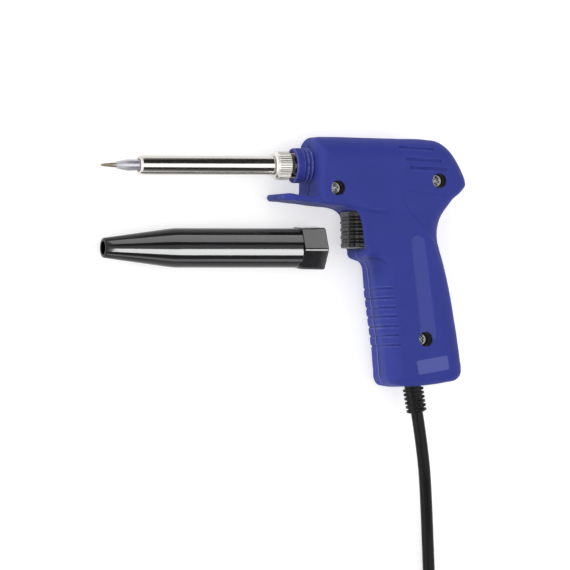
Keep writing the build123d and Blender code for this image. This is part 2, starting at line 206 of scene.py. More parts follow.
def blue_plastic():
    k = Mat("housing_blue", BLUE, 0.58, spec=0.12)
    lo = tuple(x * 0.96 for x in BLUE[:3]) + (1.0,)
    hi = tuple(x * 1.04 for x in BLUE[:3]) + (1.0,)
    col = k.ramp(k.noise(55.0, 4.0), [(0.32, lo), (0.68, hi)])
    # the edge colour is a painted highlight; the darker colours paint shade in grooves, hollows and bores, beside the
    # dark seam joints
    for attr, c in (("sunk", BLUE_SUNK), ("rim", BLUE_EDGE_HIGHLIGHT), ("shade_and_joint", BLUE_SHADE_AND_JOINT), ("deep", BLUE_HOLE_SHADE_AND_JOINT)):
        at = k.node("ShaderNodeAttribute")
        at.attribute_name = attr
        mix = k.node("ShaderNodeMix")
        mix.data_type = "RGBA"
        k.link(at.outputs["Fac"], mix.inputs["Factor"])
        k.link(col, mix.inputs["A"])
        mix.inputs["B"].default_value = c
        col = mix.outputs["Result"]
    k.color(col)
    k.rough(240.0, 0.52, 0.64)
    k.bump([(k.noise(2600.0, 2.0, 0.55), 0.7), (k.noise(700.0, 2.0), 0.3)], 0.00005)
    return k.m


BLUE = (0.029, 0.040, 0.245, 1.0)
BLUE_SUNK = (0.080, 0.094, 0.325, 1.0)
BLUE_EDGE_HIGHLIGHT = (0.170, 0.185, 0.470, 1.0)          # painted highlight on convex edges and beside the grip's seam
BLUE_SHADE_AND_JOINT = (0.012, 0.017, 0.120, 1.0)          # painted shade in grooves, the finger hollow and beside the grip's seam, and the dark seam joints
# near black: painted shade inside the screw bores and the hollow of the shell, and the dark joint on the nose seam
BLUE_HOLE_SHADE_AND_JOINT = (0.002, 0.002, 0.004, 1.0)
M["blue"] = blue_plastic()


def black_plastic(name, base, rough, grain, coat=0.0, lo=0.05, hi=0.07, spec=0.5):
    k = Mat(name, base, rough, coat=coat, spec=spec)
    k.vary(90.0, 0.25)
    k.rough(320.0, rough - lo, rough + hi)
    k.bump([(k.noise(2400.0, 2.0, 0.55), 0.7), (k.noise(500.0, 2.0), 0.3)], grain)
    return k.m


M["black"] = black_plastic("black_plastic", srgb(10, 10, 11), 0.26, 0.00003, spec=0.35)
M["seal"] = black_plastic("seal_black", srgb(8, 8, 9), 0.5, 0.00003, spec=0.3)
M["relief"] = black_plastic("relief_black", srgb(5, 5, 6), 0.28, 0.00003, spec=0.2)
M["cap"] = black_plastic("cap_gloss_black", srgb(6, 6, 7), 0.10, 0.000005, lo=0.03, hi=0.03, spec=0.22)
M["cord"] = black_plastic("cord_pvc", srgb(5, 5, 6), 0.25, 0.00003, spec=0.15)
M["plug"] = black_plastic("plug_black", srgb(14, 14, 15), 0.42, 0.00005)


def metal(name, base, rough, stretch=(1, 1, 1), scale=900.0, dist=0.000004, lo=0.03, hi=0.05, tint=0.04):
    k = Mat(name, base, rough, metallic=1.0)
    k.vary(60.0, tint)
    v = k.scaled(*stretch)
    k.rough(scale * 0.5, rough - lo, rough + hi, vec=v)
    k.bump([(k.noise(scale, 3.0, vec=v), 1.0)], dist)
    return k.m


M["steel"] = metal("polished_steel", (0.62, 0.595, 0.565, 1), 0.15, stretch=(3.0, 0.6, 0.6), scale=700)
M["nickel"] = metal("nickel_plate", (0.56, 0.535, 0.50, 1), 0.22)
M["nut"] = metal("nut_nickel", (0.74, 0.72, 0.70, 1), 0.32)
# near-black base: painted shade standing in for the dark reflections the ring shows between nut and neck
M["chrome"] = metal("ferrule_nickel_painted_dark", (0.05, 0.048, 0.045, 1), 0.10)
# darkened base: painted shade for the heads sitting down in their bores
M["screw"] = metal("screw_head", (0.26, 0.26, 0.265, 1), 0.28, scale=1500, dist=0.00001)
M["zinc"] = metal("screw_zinc", (0.62, 0.62, 0.63, 1), 0.26, scale=1500, dist=0.00001)
M["brass"] = metal("brass", (0.70, 0.52, 0.25, 1), 0.3)
M["spring"] = metal("spring_steel", (0.55, 0.55, 0.56, 1), 0.28, scale=1500)


def tip_material():
    k = Mat("tip_iron", (0.3, 0.3, 0.3, 1), 0.4, metallic=0.9)
    sep = k.node("ShaderNodeSeparateXYZ")
    k.link(k.co, sep.inputs[0])
    x0, x1 = (TIP_X0, TIP_X1)
    wob = k.node("ShaderNodeMath")
    wob.operation = "MULTIPLY_ADD"
    k.link(k.noise(500.0, 3.0), wob.inputs[0])
    wob.inputs[1].default_value = 0.0012
    k.link(sep.outputs["X"], wob.inputs[2])
    f = k.remap(wob.outputs[0], 0.0, 1.0, x0 + 0.0006, x1 + 0.0006)
    k.color(k.ramp(f, [
        (0.0, (0.52, 0.47, 0.41, 1)), (0.10, (0.34, 0.28, 0.21, 1)), (0.30, (0.30, 0.25, 0.19, 1)),
        (0.395, (0.40, 0.37, 0.33, 1)), (0.425, (0.50, 0.50, 0.54, 1)), (0.7, (0.56, 0.56, 0.61, 1)),
        (1.0, (0.50, 0.50, 0.55, 1))]))
    k.link(k.ramp(f, [(0.0, (0.22,) * 3 + (1,)), (0.38, (0.26,) * 3 + (1,)), (0.43, (0.42,) * 3 + (1,)),
                      (1.0, (0.36,) * 3 + (1,))]), k.b.inputs["Roughness"])
    k.bump([(k.noise(1800.0, 3.0), 0.7), (k.noise(420.0, 2.0), 0.4)], 0.00004)
    return k.m


TIP_X0, TIP_X1 = (-123.2 + X0) * MM, (-99.0 + X0) * MM
M["tip"] = tip_material()


def plain(name, base, rough=0.5, metallic=0.0, scale=400.0):
    k = Mat(name, base, rough, metallic=metallic)
    k.vary(scale * 0.3, 0.08)
    k.rough(scale, rough - 0.06, rough + 0.08)
    k.bump([(k.noise(scale * 4, 3.0), 1.0)], 0.00002)
    return k.m


M["ceramic"] = plain("ceramic_white", (0.80, 0.78, 0.73, 1), 0.6)
M["mica"] = plain("mica", (0.48, 0.40, 0.29, 1), 0.35)
M["term"] = plain("terminal_white", (0.68, 0.66, 0.62, 1), 0.45)
M["brown"] = plain("wire_brown", srgb(96, 58, 34), 0.42)
M["bluew"] = plain("wire_blue", srgb(40, 86, 160), 0.42)
M["green"] = plain("wire_green", srgb(96, 150, 50), 0.42)
M["glass_sleeve"] = plain("lead_sleeving", (0.66, 0.63, 0.56, 1), 0.8, scale=900)
M["grey"] = plain("clamp_grey", (0.22, 0.22, 0.23, 1), 0.5)


def dress(obj, *mats):
    obj.data.materials.clear()
    for m in mats:
        obj.data.materials.append(m)


# ------------------------------------------------------------------ mesh helpers
def new_object(name, verts, faces, smooth=True, sharp=None):
    me = bpy.data.meshes.new(name)
    me.from_pydata([tuple(v) for v in verts], [], [tuple(int(i) for i in f) for f in faces])
    me.validate()
    me.update()
    if smooth:
        me.shade_smooth()
    if sharp is not None:
        me.set_sharp_from_angle(angle=math.radians(sharp))
    ob = bpy.data.objects.new(name, me)
    bpy.context.scene.collection.objects.link(ob)
    return ob


def quads_object(name, verts, quads):
    """Large quad mesh made from arrays."""
    me = bpy.data.meshes.new(name)
    n, q = len(verts), len(quads)
    me.vertices.add(n)
    me.vertices.foreach_set("co", np.asarray(verts, dtype=np.float32).ravel())
    me.loops.add(q * 4)
    me.loops.foreach_set("vertex_index", np.asarray(quads, dtype=np.int32).ravel())
    me.polygons.add(q)
    me.polygons.foreach_set("loop_start", np.arange(0, q * 4, 4, dtype=np.int32))
    me.update(calc_edges=True)
    me.validate()
    me.shade_smooth()
    ob = bpy.data.objects.new(name, me)
    bpy.context.scene.collection.objects.link(ob)
    return ob


AXIS_U = ((0.0, 0.0, 0.0), (1, 0, 0), (0, 0, 1), (0, 1, 0))


def lathe(name, prof, n=96, frame=AXIS_U, sharp=32, radius_at=None):
    """Turned body about frame = (origin, axis, zero direction, quarter direction), all in the gun frame.
    prof is (distance along the axis, radius); radius 0 closes an end."""
    org, ax, e0, e1 = (np.array(q, float) for q in frame)
    verts, faces, rows = [], [], []
    for j, (s, r) in enumerate(prof):
        if r < 1e-6:
            rows.append([len(verts)])
            verts.append(org + ax * s)
        else:
            row = []
            for i in range(n):
                a = 2 * math.pi * i / n
                rr = radius_at(j, s, r, a) if radius_at else r
                row.append(len(verts))
                verts.append(org + ax * s + rr * (math.cos(a) * e0 + math.sin(a) * e1))
            rows.append(row)
    closed = len(rows[0]) > 1 and len(rows[-1]) > 1
    pairs = list(zip(rows, rows[1:])) + ([(rows[-1], rows[0])] if closed else [])
    for a, b in pairs:
        if len(a) == 1 and len(b) == 1:
            continue
        if len(a) == 1:
            faces += [(a[0], b[(i + 1) % n], b[i]) for i in range(n)]
        elif len(b) == 1:
            faces += [(a[i], a[(i + 1) % n], b[0]) for i in range(n)]
        else:
            faces += [(a[i], a[(i + 1) % n], b[(i + 1) % n], b[i]) for i in range(n)]
    ob = new_object(name, to_m(np.array(verts)), faces, sharp=sharp)
    recalc(ob)
    return ob


def recalc(ob):
    import bmesh
    bm = bmesh.new()
    bm.from_mesh(ob.data)
    bmesh.ops.recalc_face_normals(bm, faces=bm.faces)
    bm.to_mesh(ob.data)
    bm.free()


def eased(prof, r=0.25, steps=3):
    """Rounds the corners of a profile by a small radius."""
    out = [prof[0]]
    for a, b, c in zip(prof, prof[1:], prof[2:]):
        a_, b_, c_ = np.array(a, float), np.array(b, float), np.array(c, float)
        e1, e2 = a_ - b_, c_ - b_
        l1, l2 = np.linalg.norm(e1), np.linalg.norm(e2)
        cosang = float(np.dot(e1, e2) / max(l1 * l2, 1e-9))
        if cosang < -0.985:
            out.append(b)
            continue
        k = min(r, 0.45 * l1, 0.45 * l2)
        p, q = b_ + e1 / l1 * k, b_ + e2 / l2 * k
        for i in range(steps + 1):
            t = i / steps
            out.append(tuple((1 - t) ** 2 * p + 2 * t * (1 - t) * b_ + t * t * q))
    out.append(prof[-1])
    return out


# ------------------------------------------------------------------ mains lead
CORD_D = 6.75
COIL_C = (32.0, -285.0)
LEAD = [
    (62.6563, -136.1072, 18.5), (66.6, -159.8, 18.0), (70.6, -186.0, 11.4), (73.9, -214.5, 5.2),
    (75.7, -249.0, 3.6),
]
TAIL = [(8.0, -329.6, 12.2), (-14.0, -331.2, 16.2), (-34.0, -332.0, 18.5)]


def coil_points():
    """Turns of the put-away coil: three side by side on the floor, then two more on top of them."""
    out = []
    per, total = 16, 5.25
    k = 1.0 / 0.981
    levels = [44.0, 37.2, 30.5, 30.5, 37.2, 44.0]
    heights = [4.3, 4.3, 4.3, 11.0, 11.0, 11.0]
    for i in range(int(per * total) + 1):
        t = i / per
        turn, part = int(t), t - int(t)
        r, z = levels[turn], heights[turn]
        if turn < 5 and part > 0.78:
            s = (part - 0.78) / 0.22
            s = s * s * (3 - 2 * s)
            r = r + (levels[turn + 1] - r) * s
            z = z + (heights[turn + 1] - z) * s
            if turn == 2:
                r -= 3.0 * math.sin(math.pi * s)
        r += 0.35 * math.sin(2.3 * t + 0.6) * (0.0 if i == 0 else 1.0)
        a = -2 * math.pi * t
        out.append((COIL_C[0] + r * k * math.cos(a), COIL_C[1] + r * k * math.sin(a), z))
    return out


route = LEAD + coil_points() + TAIL
curve = bpy.data.curves.new("mains_lead", "CURVE")
curve.dimensions = "3D"
curve.bevel_depth = CORD_D / 2 * MM
curve.bevel_resolution = 8
curve.resolution_u = 8
curve.use_fill_caps = True
spline = curve.splines.new("NURBS")
spline.points.add(len(route) - 1)
for p, (u, v, z) in zip(spline.points, route):
    p.co = ((u + X0) * MM, (v + Y0) * MM, z * MM, 1.0)
spline.order_u = 3
spline.use_endpoint_u = True
cord = bpy.data.objects.new("mains_lead", curve)
bpy.context.scene.collection.objects.link(cord)
dress(cord, M["cord"])
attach(cord, "housing")
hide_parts("cord_lead", "cord_coil", "cord_tail")

# ------------------------------------------------------------------ casing as a distance field
def smooth_step(e0, e1, x):
    t = np.clip((x - e0) / (e1 - e0), 0.0, 1.0)
    return t * t * (3 - 2 * t)


def smin(a, b, k):
    h = np.maximum(k - np.abs(a - b), 0.0) / np.maximum(k, 1e-6)
    return np.minimum(a, b) - h * h * k * 0.25


def smax(a, b, k):
    return -smin(-a, -b, k)


def round_max(a, b, r):
    """Intersection whose edge is an arc of radius r."""
    return np.minimum(np.maximum(a, b), -r) + np.hypot(np.maximum(a + r, 0), np.maximum(b + r, 0))


def catmull(points, corners, step=0.8):
    """Closed smooth outline through points; the ones listed in corners stay sharp. Points carry a radius too."""
    n = len(points)
    pts = [np.array(p, float) for p in points]
    out = []
    for i in range(n):
        p1, p2 = pts[i], pts[(i + 1) % n]
        p0 = pts[i - 1] if i not in corners else 2 * p1 - p2
        p3 = pts[(i + 2) % n] if (i + 1) % n not in corners else 2 * p2 - p1
        m = max(1, int(np.linalg.norm((p2 - p1)[:2]) / step))
        # centripetal-like tangents kept short so that uneven spacing does not overshoot
        l12 = np.linalg.norm((p2 - p1)[:2])
        l01 = max(np.linalg.norm((p1 - p0)[:2]), 1e-6)
        l23 = max(np.linalg.norm((p3 - p2)[:2]), 1e-6)
        t1 = ((p1 - p0) / l01 * l12 + (p2 - p1) / l12 * l01) / (l01 + l12) * l12
        t2 = ((p2 - p1) / l12 * l23 + (p3 - p2) / l23 * l12) / (l12 + l23) * l12
        for j in range(m):
            t = j / m
            h00 = 2 * t**3 - 3 * t**2 + 1
            h10 = t**3 - 2 * t**2 + t
            h01 = -2 * t**3 + 3 * t**2
            h11 = t**3 - t**2
            q = h00 * p1 + h10 * t1 + h01 * p2 + h11 * t2
            q[2] = (1 - t) * p1[2] + t * p2[2]
            out.append(q)
    return np.array(out)


def outline_field(poly, U, V):
    """Signed distance to a closed outline (negative inside), and the outline's third value at the nearest point."""
    P = np.stack([U.ravel(), V.ravel()], axis=1)
    best = np.full(len(P), 1e9)
    val = np.zeros(len(P))
    inside = np.zeros(len(P), bool)
    n = len(poly)
    for i in range(n):
        a, b = poly[i], poly[(i + 1) % n]
        d = b[:2] - a[:2]
        L = float(d @ d)
        if L < 1e-12:
            continue
        rel = P - a[:2]
        t = np.clip((rel @ d) / L, 0, 1)
        q = rel - t[:, None] * d
        dist = q[:, 0] ** 2 + q[:, 1] ** 2
        m = dist < best
        best[m] = dist[m]
        val[m] = a[2] + t[m] * (b[2] - a[2])
        c = (a[1] > P[:, 1]) != (b[1] > P[:, 1])
        if c.any():
            x = a[0] + (P[:, 1] - a[1]) / (b[1] - a[1] + 1e-30) * (b[0] - a[0])
            inside ^= c & (P[:, 0] < x)
    s = np.sqrt(best)
    s[inside] *= -1
    return s.reshape(U.shape), val.reshape(U.shape)


def blur(a, n):
    for _ in range(n):
        p = np.pad(a, 1, mode="edge")
        a = (p[:-2, 1:-1] + p[2:, 1:-1] + p[1:-1, :-2] + p[1:-1, 2:] + 4 * p[1:-1, 1:-1]) / 8
    return a


def surface_net(F, origin, h):
    """Quads on the zero level of F: one vertex per cell that the surface crosses."""
    S = F < 0
    nx, ny, nz = F.shape
    cnt = np.zeros((nx - 1, ny - 1, nz - 1), np.int8)
    for dx in (0, 1):
        for dy in (0, 1):
            for dz in (0, 1):
                cnt += S[dx:nx - 1 + dx, dy:ny - 1 + dy, dz:nz - 1 + dz]
    act = (cnt > 0) & (cnt < 8)
    idx = np.argwhere(act)
    vid = np.full(act.shape, -1, np.int32)
    vid[act] = np.arange(len(idx), dtype=np.int32)
    corners = [(0, 0, 0), (1, 0, 0), (0, 1, 0), (1, 1, 0), (0, 0, 1), (1, 0, 1), (0, 1, 1), (1, 1, 1)]
    vals = np.stack([F[idx[:, 0] + c[0], idx[:, 1] + c[1], idx[:, 2] + c[2]] for c in corners], axis=1)
    acc = np.zeros((len(idx), 3))
    num = np.zeros(len(idx))
    for a in range(8):
        for b in range(a + 1, 8):
            ca, cb = np.array(corners[a]), np.array(corners[b])
            if np.abs(ca - cb).sum() != 1:
                continue
            va, vb = vals[:, a], vals[:, b]
            m = (va < 0) != (vb < 0)
            t = va[m] / (va[m] - vb[m])
            acc[m] += ca + t[:, None] * (cb - ca)
            num[m] += 1
    verts = (idx + acc / num[:, None]) * h + np.array(origin)
    quads = []
    for ax in range(3):
        o = [(0, 0, 0)] * 4
        e = np.eye(3, dtype=int)
        s1, s2 = e[(ax + 1) % 3], e[(ax + 2) % 3]
        lo = [slice(1, -1)] * 3
        hi = [slice(1, -1)] * 3
        lo[ax] = slice(0, -1)
        hi[ax] = slice(1, None)
        A, B = S[tuple(lo)], S[tuple(hi)]
        edge = np.argwhere(A != B)
        off = np.ones(3, int)
        off[ax] = 0
        g = edge + off
        flip = B[edge[:, 0], edge[:, 1], edge[:, 2]]
        c0 = g - s1 - s2
        c1 = g - s2
        c2 = g
        c3 = g - s1
        q = np.stack([vid[c[:, 0], c[:, 1], c[:, 2]] for c in (c0, c1, c2, c3)], axis=1)
        q[flip] = q[flip][:, ::-1]
        quads.append(q)
    quads = np.concatenate(quads)
    quads = quads[(quads >= 0).all(axis=1)]
    return verts, quads


# u, v, edge radius
OUT = [
    (-4.0, 15.75, 13.2), (12, 15.75, 13.2), (28, 15.4, 13.2), (50, 14.9, 13.0), (66, 14.4, 12.5), (72.5, 13.3, 11.5),
    (76, 10.9, 9.5), (79.6, 7.2, 8.5), (83.0, 1.9, 8), (86.0, -4.4, 7.5), (87.3, -8.6, 7), (87.3, -11.2, 6.5),
    (85.5, -13.8, 6.5), (83.1, -16.2, 6.5), (81.6, -17.35, 7), (80.1, -19.1, 8), (78.5, -21.7, 9.5), (76.8, -24.4, 11),
    (75.2, -27.2, 12), (74.1, -30, 12.5), (73.4, -33, 12.5), (73.0, -36.5, 12.5), (73.0, -40, 12), (73.4, -43.7, 12),
    (74.0, -46.5, 11.5), (75.1, -50.2, 11.5), (76.9, -57.5, 11), (78.2, -63, 11), (80.4, -74, 11), (82.2, -85, 11),
    (83.9, -96, 11), (85.2, -107, 10.5), (85.5, -112, 9.5), (84.6, -115.6, 8), (82.3, -118.0, 7), (75.4, -119.7, 6),
    (68.4, -120.8, 6), (57.7, -121.7, 6), (47.1, -121.3, 6.5), (43.2, -120.3, 7), (41.3, -117.6, 8.0),
    (40.5, -111.7, 8.7), (39.5, -99.2, 8.7), (37.5, -83.9, 8.7), (35.5, -67.9, 8.7), (34.7, -60.7, 8.7),
    (33.7, -54.9, 8.4), (32.4, -52.8, 8.0), (30.0, -51.6, 5.5), (28.4, -50.2, 3.2), (27.8, -48.4, 2.6),
    (27.9, -45.8, 2.2), (26.8, -45.35, 2.0), (24.5, -29.5, 2.0), (23.4, -26.6, 2.0), (20.6, -24.3, 2.2),
    (8.2, -22.0, 2.4), (0, -20.9, 2.2), (-4.0, -20.4, 2.2),
]
CORNERS = {0, 48 + 3, 52, len(OUT) - 1}
BORES = [(10.3, -12.7), (70.2, -8.6), (62.2, -95.9)]
GROOVES = (-67.9, -73.2, -78.4, -83.4, -88.7, -93.7, -99.2)


def poly_dist(points, U, V):
    return outline_field(np.array([(a, b, 0.0) for a, b in points]), U, V)[0]


def casing_half(h, left):
    u = np.arange(-22.4, 90.6, h)
    v = np.arange(-123.6, 17.6, h)
    w = np.arange(-2.0 * h + 0.06, 19.8, h)
    U2, V2 = np.meshgrid(u, v, indexing="ij")
    poly = catmull(OUT, CORNERS)
    d2, r2 = outline_field(poly, U2, V2)
    r2 = np.clip(blur(r2, 14), 1.8, 13.2)

    # half thickness: the upper body stands proud of the grip and its step fades out rearwards
    crease = -23.4 - (U2 - 19.0) * (4.1 / 25.0)
    soft = 1.3 + 10.0 * smooth_step(34.0, 60.0, U2)
    W = 16.5 + 2.0 * smooth_step(-soft, soft * 0.6, V2 - crease - soft * 0.35)
    # hollow for the fingers below the trigger lug, fading out rearwards
    c2 = -50.3 - 0.0455 * np.clip(U2 - 30.7, 0, 12) ** 2 - 0.5 * np.clip(30.7 - U2, 0, 6)
    s2 = 0.7 + 2.6 * smooth_step(32.0, 44.0, U2)
    below = smooth_step(1.0, -1.0, (V2 - c2) / s2) * smooth_step(44.0, 34.0, U2) * smooth_step(-66.5, -56.0, V2)
    W = W - 1.05 * below
    W = W - 0.5 * smooth_step(60, 90, U2) * smooth_step(-14, 10, V2)

    # shallow sunk areas on the flat of the side
    sink = np.zeros_like(W)
    strip_a, strip_b = np.array([57.7, -42.4]), np.array([63.6, -93.0])
    dd = strip_b - strip_a
    L = float(np.hypot(*dd))
    t = np.clip(((U2 - strip_a[0]) * dd[0] + (V2 - strip_a[1]) * dd[1]) / L**2, 0, 1)
    half = 3.9 + 0.7 * t
    sd = np.hypot(U2 - strip_a[0] - t * dd[0], V2 - strip_a[1] - t * dd[1]) - half
    sink += 0.55 * smooth_step(0.28, -0.28, sd)
    # small sunk field with rounded corners near the foot of the grip
    ca, sa = math.cos(math.radians(9.6)), math.sin(math.radians(9.6))
    lu, lv = (U2 - 66.0) * ca + (V2 + 110.3) * sa, -(U2 - 66.0) * sa + (V2 + 110.3) * ca
    ld = np.hypot(np.maximum(np.abs(lu) - 8.2, 0), np.maximum(np.abs(lv) - 2.9, 0)) - 1.1
    if left:
        sink += 0.42 * smooth_step(0.28, -0.28, ld)
    panel = [(77.4, -17.2), (75.4, -16.5), (52.4, -13.8), (48.6, -16.0), (47.4, -20.6), (51.4, -25.3),
             (56.0, -29.6), (64.3, -37.3), (70.6, -44.5), (79.0, -40.0), (80.0, -24.0), (84.0, -19.5)]
    pd = poly_dist(panel, U2, V2)
    sink += 0.42 * smooth_step(0.3, -0.3, pd + 0.5) + 0.3 * np.exp(-((pd + 0.35) / 0.42) ** 2)
    W = W - sink
    # grooves across the front of the grip
    gr = np.zeros_like(W)
    for g in GROOVES:
        gr = np.maximum(gr, np.clip(1 - np.abs(V2 - g - 0.02 * (U2 - 40)) / 0.95, 0, 1) ** 1.3)
    reach = 42.9 + (-67.2 - V2) * 0.133
    gr *= smooth_step(reach + 0.7, reach - 0.7, U2)
    gr *= 0.9
    band = smooth_step(-66.0, -68.6, V2) * smooth_step(-100.6, -98.4, V2)
    plump = 0.22 * band * smooth_step(reach + 0.5, reach - 5.0, U2)

    r3, d3, W3 = r2[:, :, None], d2[:, :, None], W[:, :, None]
    w3 = w[None, None, :]
    qx = d3 + r3
    qw = w3 - (W3 - r3)
    f = np.minimum(np.maximum(qx, qw), 0) + np.hypot(np.maximum(qx, 0), np.maximum(qw, 0)) - r3
    f = f + (gr - plump)[:, :, None]
    inner = f + 2.2
    U3, V3 = U2[:, :, None], V2[:, :, None]
    # flat front face of the nose, with a rounded rim
    f = round_max(f, -U3 + 0.0 * w3, 3.6)
    inner = np.maximum(inner, -(U3 - 2.2) + 0.0 * w3)

    # forward guard below the nose
    prof = catmull([(-20.2, -16.7, 0), (-10, -16.85, 0), (0, -17.1, 0), (8, -17.2, 0), (8, -22.2, 0), (0, -20.95, 0),
                    (-6, -20.3, 0), (-12.6, -19.55, 0), (-19.9, -18.35, 0), (-20.75, -17.5, 0)], {3, 4})
    fd = outline_field(prof, U2, V2)[0][:, :, None]
    gx = np.abs(U3 + 6.3) - (14.3 - 6.5)
    gw = w3 - (17.0 - 6.5)
    plan = np.minimum(np.maximum(gx, gw), 0) + np.hypot(np.maximum(gx, 0), np.maximum(gw, 0)) - 6.5
    fin = round_max(fd + 0.0 * w3, plan, 0.9)
    k = 0.12 + 3.4 * smooth_step(-19.6, -17.0, V3)
    f = smin(f, fin, k + 0.0 * w3)

    # neck with its grooves
    rad = np.hypot(V3, w3)
    R = 9.62 + 0.028 * (U3 + 10)
    for g, s in ((-4.5, 0.95), (-2.25, 0.95), (-0.1, 1.1)):
        R = R - s * np.clip(1 - np.abs(U3 - g) / 0.95, 0, 1) ** 0.8
    neck = np.maximum(rad - R, U3 - 3.0 + 0.0 * w3)
    neck = round_max(neck, -(U3 + 10.0) + 0.0 * w3, 0.55)
    f = smin(f, neck, 0.35 + 0.0 * w3)

    # hollow inside, bores and openings
    f = smax(f, -inner, 0.3)
    keep = []
    for bu, bv in BORES:
        post = np.maximum(np.hypot(U3 - bu, V3 - bv) - 5.4, 0.0 + w3 - (15.0 if bv > -60 else 13.0))
        keep.append(post)
    for post in keep:
        f = smin(f, np.maximum(post, inner), 0.3)
    bore = np.minimum(np.maximum(rad - 7.75, U3 + 2.05), np.maximum(rad - 6.98, U3 - 12.0) + 0.0)
    f = smax(f, -bore, 0.12)
    for bu, bv in BORES:
        dr = np.hypot(U3 - bu, V3 - bv)
        top = 18.5 if bv > -60 else 16.5
        if left:
            f = smax(f, -np.maximum(dr - 4.1, (top - (7.2 if bv > -60 else 9.0)) - w3), 0.25)
        f = np.maximum(f, -(dr - (1.75 if left else 1.58) + 0.0 * w3)) if left else np.maximum(
            f, -np.maximum(dr - 1.58, w3 - 9.0))
    tr = np.maximum(np.maximum(w3 - 14.15, np.maximum(V3 - (-25.15), -45.75 - V3)), U3 - 31.0)
    tr = np.maximum(tr, 12.0 - U3)
    f = smax(f, -tr, 0.35)
    for (a0, b0, a1, b1) in ((52.9, -1.4, 74.4, -2.4), (50.6, 3.3, 71.2, 2.2), (47.5, 9.6, 67.2, 8.5)):
        A, Bv = np.array([a0, b0]), np.array([a1, b1])
        dv = Bv - A
        t = np.clip(((U2 - A[0] - 0.9 * dv[0] / 21) * dv[0] + (V2 - A[1]) * dv[1]) / float(dv @ dv), 0, 0.96)
        sl = np.hypot(U2 - A[0] - t * dv[0] - 0.4, V2 - A[1] - t * dv[1]) - 0.92
        slot = np.maximum(np.maximum(sl[:, :, None], 9.5 - w3), -(f + 0.75))
        f = smax(f, -slot, 0.15)
    # hole for the strain relief
    ra, rd = np.array([60.3, -121.8]), np.array([0.1625, -0.9867])
    al = (U3 - ra[0]) * rd[0] + (V3 - ra[1]) * rd[1]
    ac = np.hypot((U3 - ra[0]) * rd[1] - (V3 - ra[1]) * rd[0], w3)
    f = np.maximum(f, -np.maximum(ac - 4.8, -8 - al))
    # parting plane with a small bevel that shows as a seam
    f = round_max(f, -(w3 - 0.07) + 0.0 * f, 0.5)

    verts, quads = surface_net(f.astype(np.float32), (u[0], v[0], w[0]), h)
    fu, fv = (verts[:, 0] - u[0]) / h, (verts[:, 1] - v[0]) / h

    def at(field):
        iu = np.clip(fu.astype(int), 0, len(u) - 2)
        iv = np.clip(fv.astype(int), 0, len(v) - 2)
        a, b = fu - iu, fv - iv
        return ((field[iu, iv] * (1 - a) + field[iu + 1, iv] * a) * (1 - b)
                + (field[iu, iv + 1] * (1 - a) + field[iu + 1, iv + 1] * a) * b)

    face = smooth_step(2.0, 1.0, at(W) - verts[:, 2])
    sunk = 0.38 * smooth_step(0.25, -0.35, at(sd)) * face
    if left:
        sunk = np.maximum(sunk, smooth_step(0.25, -0.35, at(ld)) * face)
    # painted shade: the screw bores' walls and floors and the inside of the shell go near black
    deep = np.zeros(len(verts))
    if left:
        for bu, bv in BORES:
            top = at(W)
            dr = np.hypot(verts[:, 0] - bu, verts[:, 1] - bv)
            deep = np.maximum(deep, (dr < 4.6) * smooth_step(0.5, 1.3, top - verts[:, 2]))
    iu = np.clip(fu.round().astype(int), 0, inner.shape[0] - 1)
    iv = np.clip(fv.round().astype(int), 0, inner.shape[1] - 1)
    iw = np.clip(((verts[:, 2] - w[0]) / h).round().astype(int), 0, inner.shape[2] - 1)
    deep = np.maximum(deep, smooth_step(0.9, 0.2, inner[iu, iv, iw]))
    return verts, quads, sunk, deep, np.minimum(np.abs(at(sd)), np.abs(at(ld)))


def bulge(verts, quads, h):
    """How far each vertex stands out from the mean of its neighbours, in grid steps; negative in grooves."""
    e = np.concatenate([quads[:, [0, 1]], quads[:, [1, 2]], quads[:, [2, 3]], quads[:, [3, 0]]])
    e = np.concatenate([e, e[:, ::-1]])
    n = len(verts)
    count = np.maximum(np.bincount(e[:, 0], minlength=n), 1)
    mean = np.stack([np.bincount(e[:, 0], weights=verts[e[:, 1], k], minlength=n) for k in range(3)], 1) / count[:, None]
    a, b, c, d = (verts[quads[:, k]] for k in range(4))
    fn = np.cross(c - a, d - b)
    nor = np.stack([np.bincount(quads.ravel(), weights=np.repeat(fn[:, k], 4), minlength=n) for k in range(3)], 1)
    nor /= np.maximum(np.linalg.norm(nor, axis=1), 1e-9)[:, None]
    if (nor[:, 2] * (verts[:, 2] > 16.0)).sum() < 0:        # the flat of the side faces outwards
        nor = -nor
    out = -((mean - verts) * nor).sum(1) / h
    soft = np.bincount(e[:, 0], weights=out[e[:, 1]], minlength=n) / count
    return 0.6 * out + 0.4 * soft


def carry(ob, name, values):
    a = ob.data.attributes.new(name, "FLOAT", "POINT")
    a.data.foreach_set("value", np.asarray(values, dtype=np.float32))


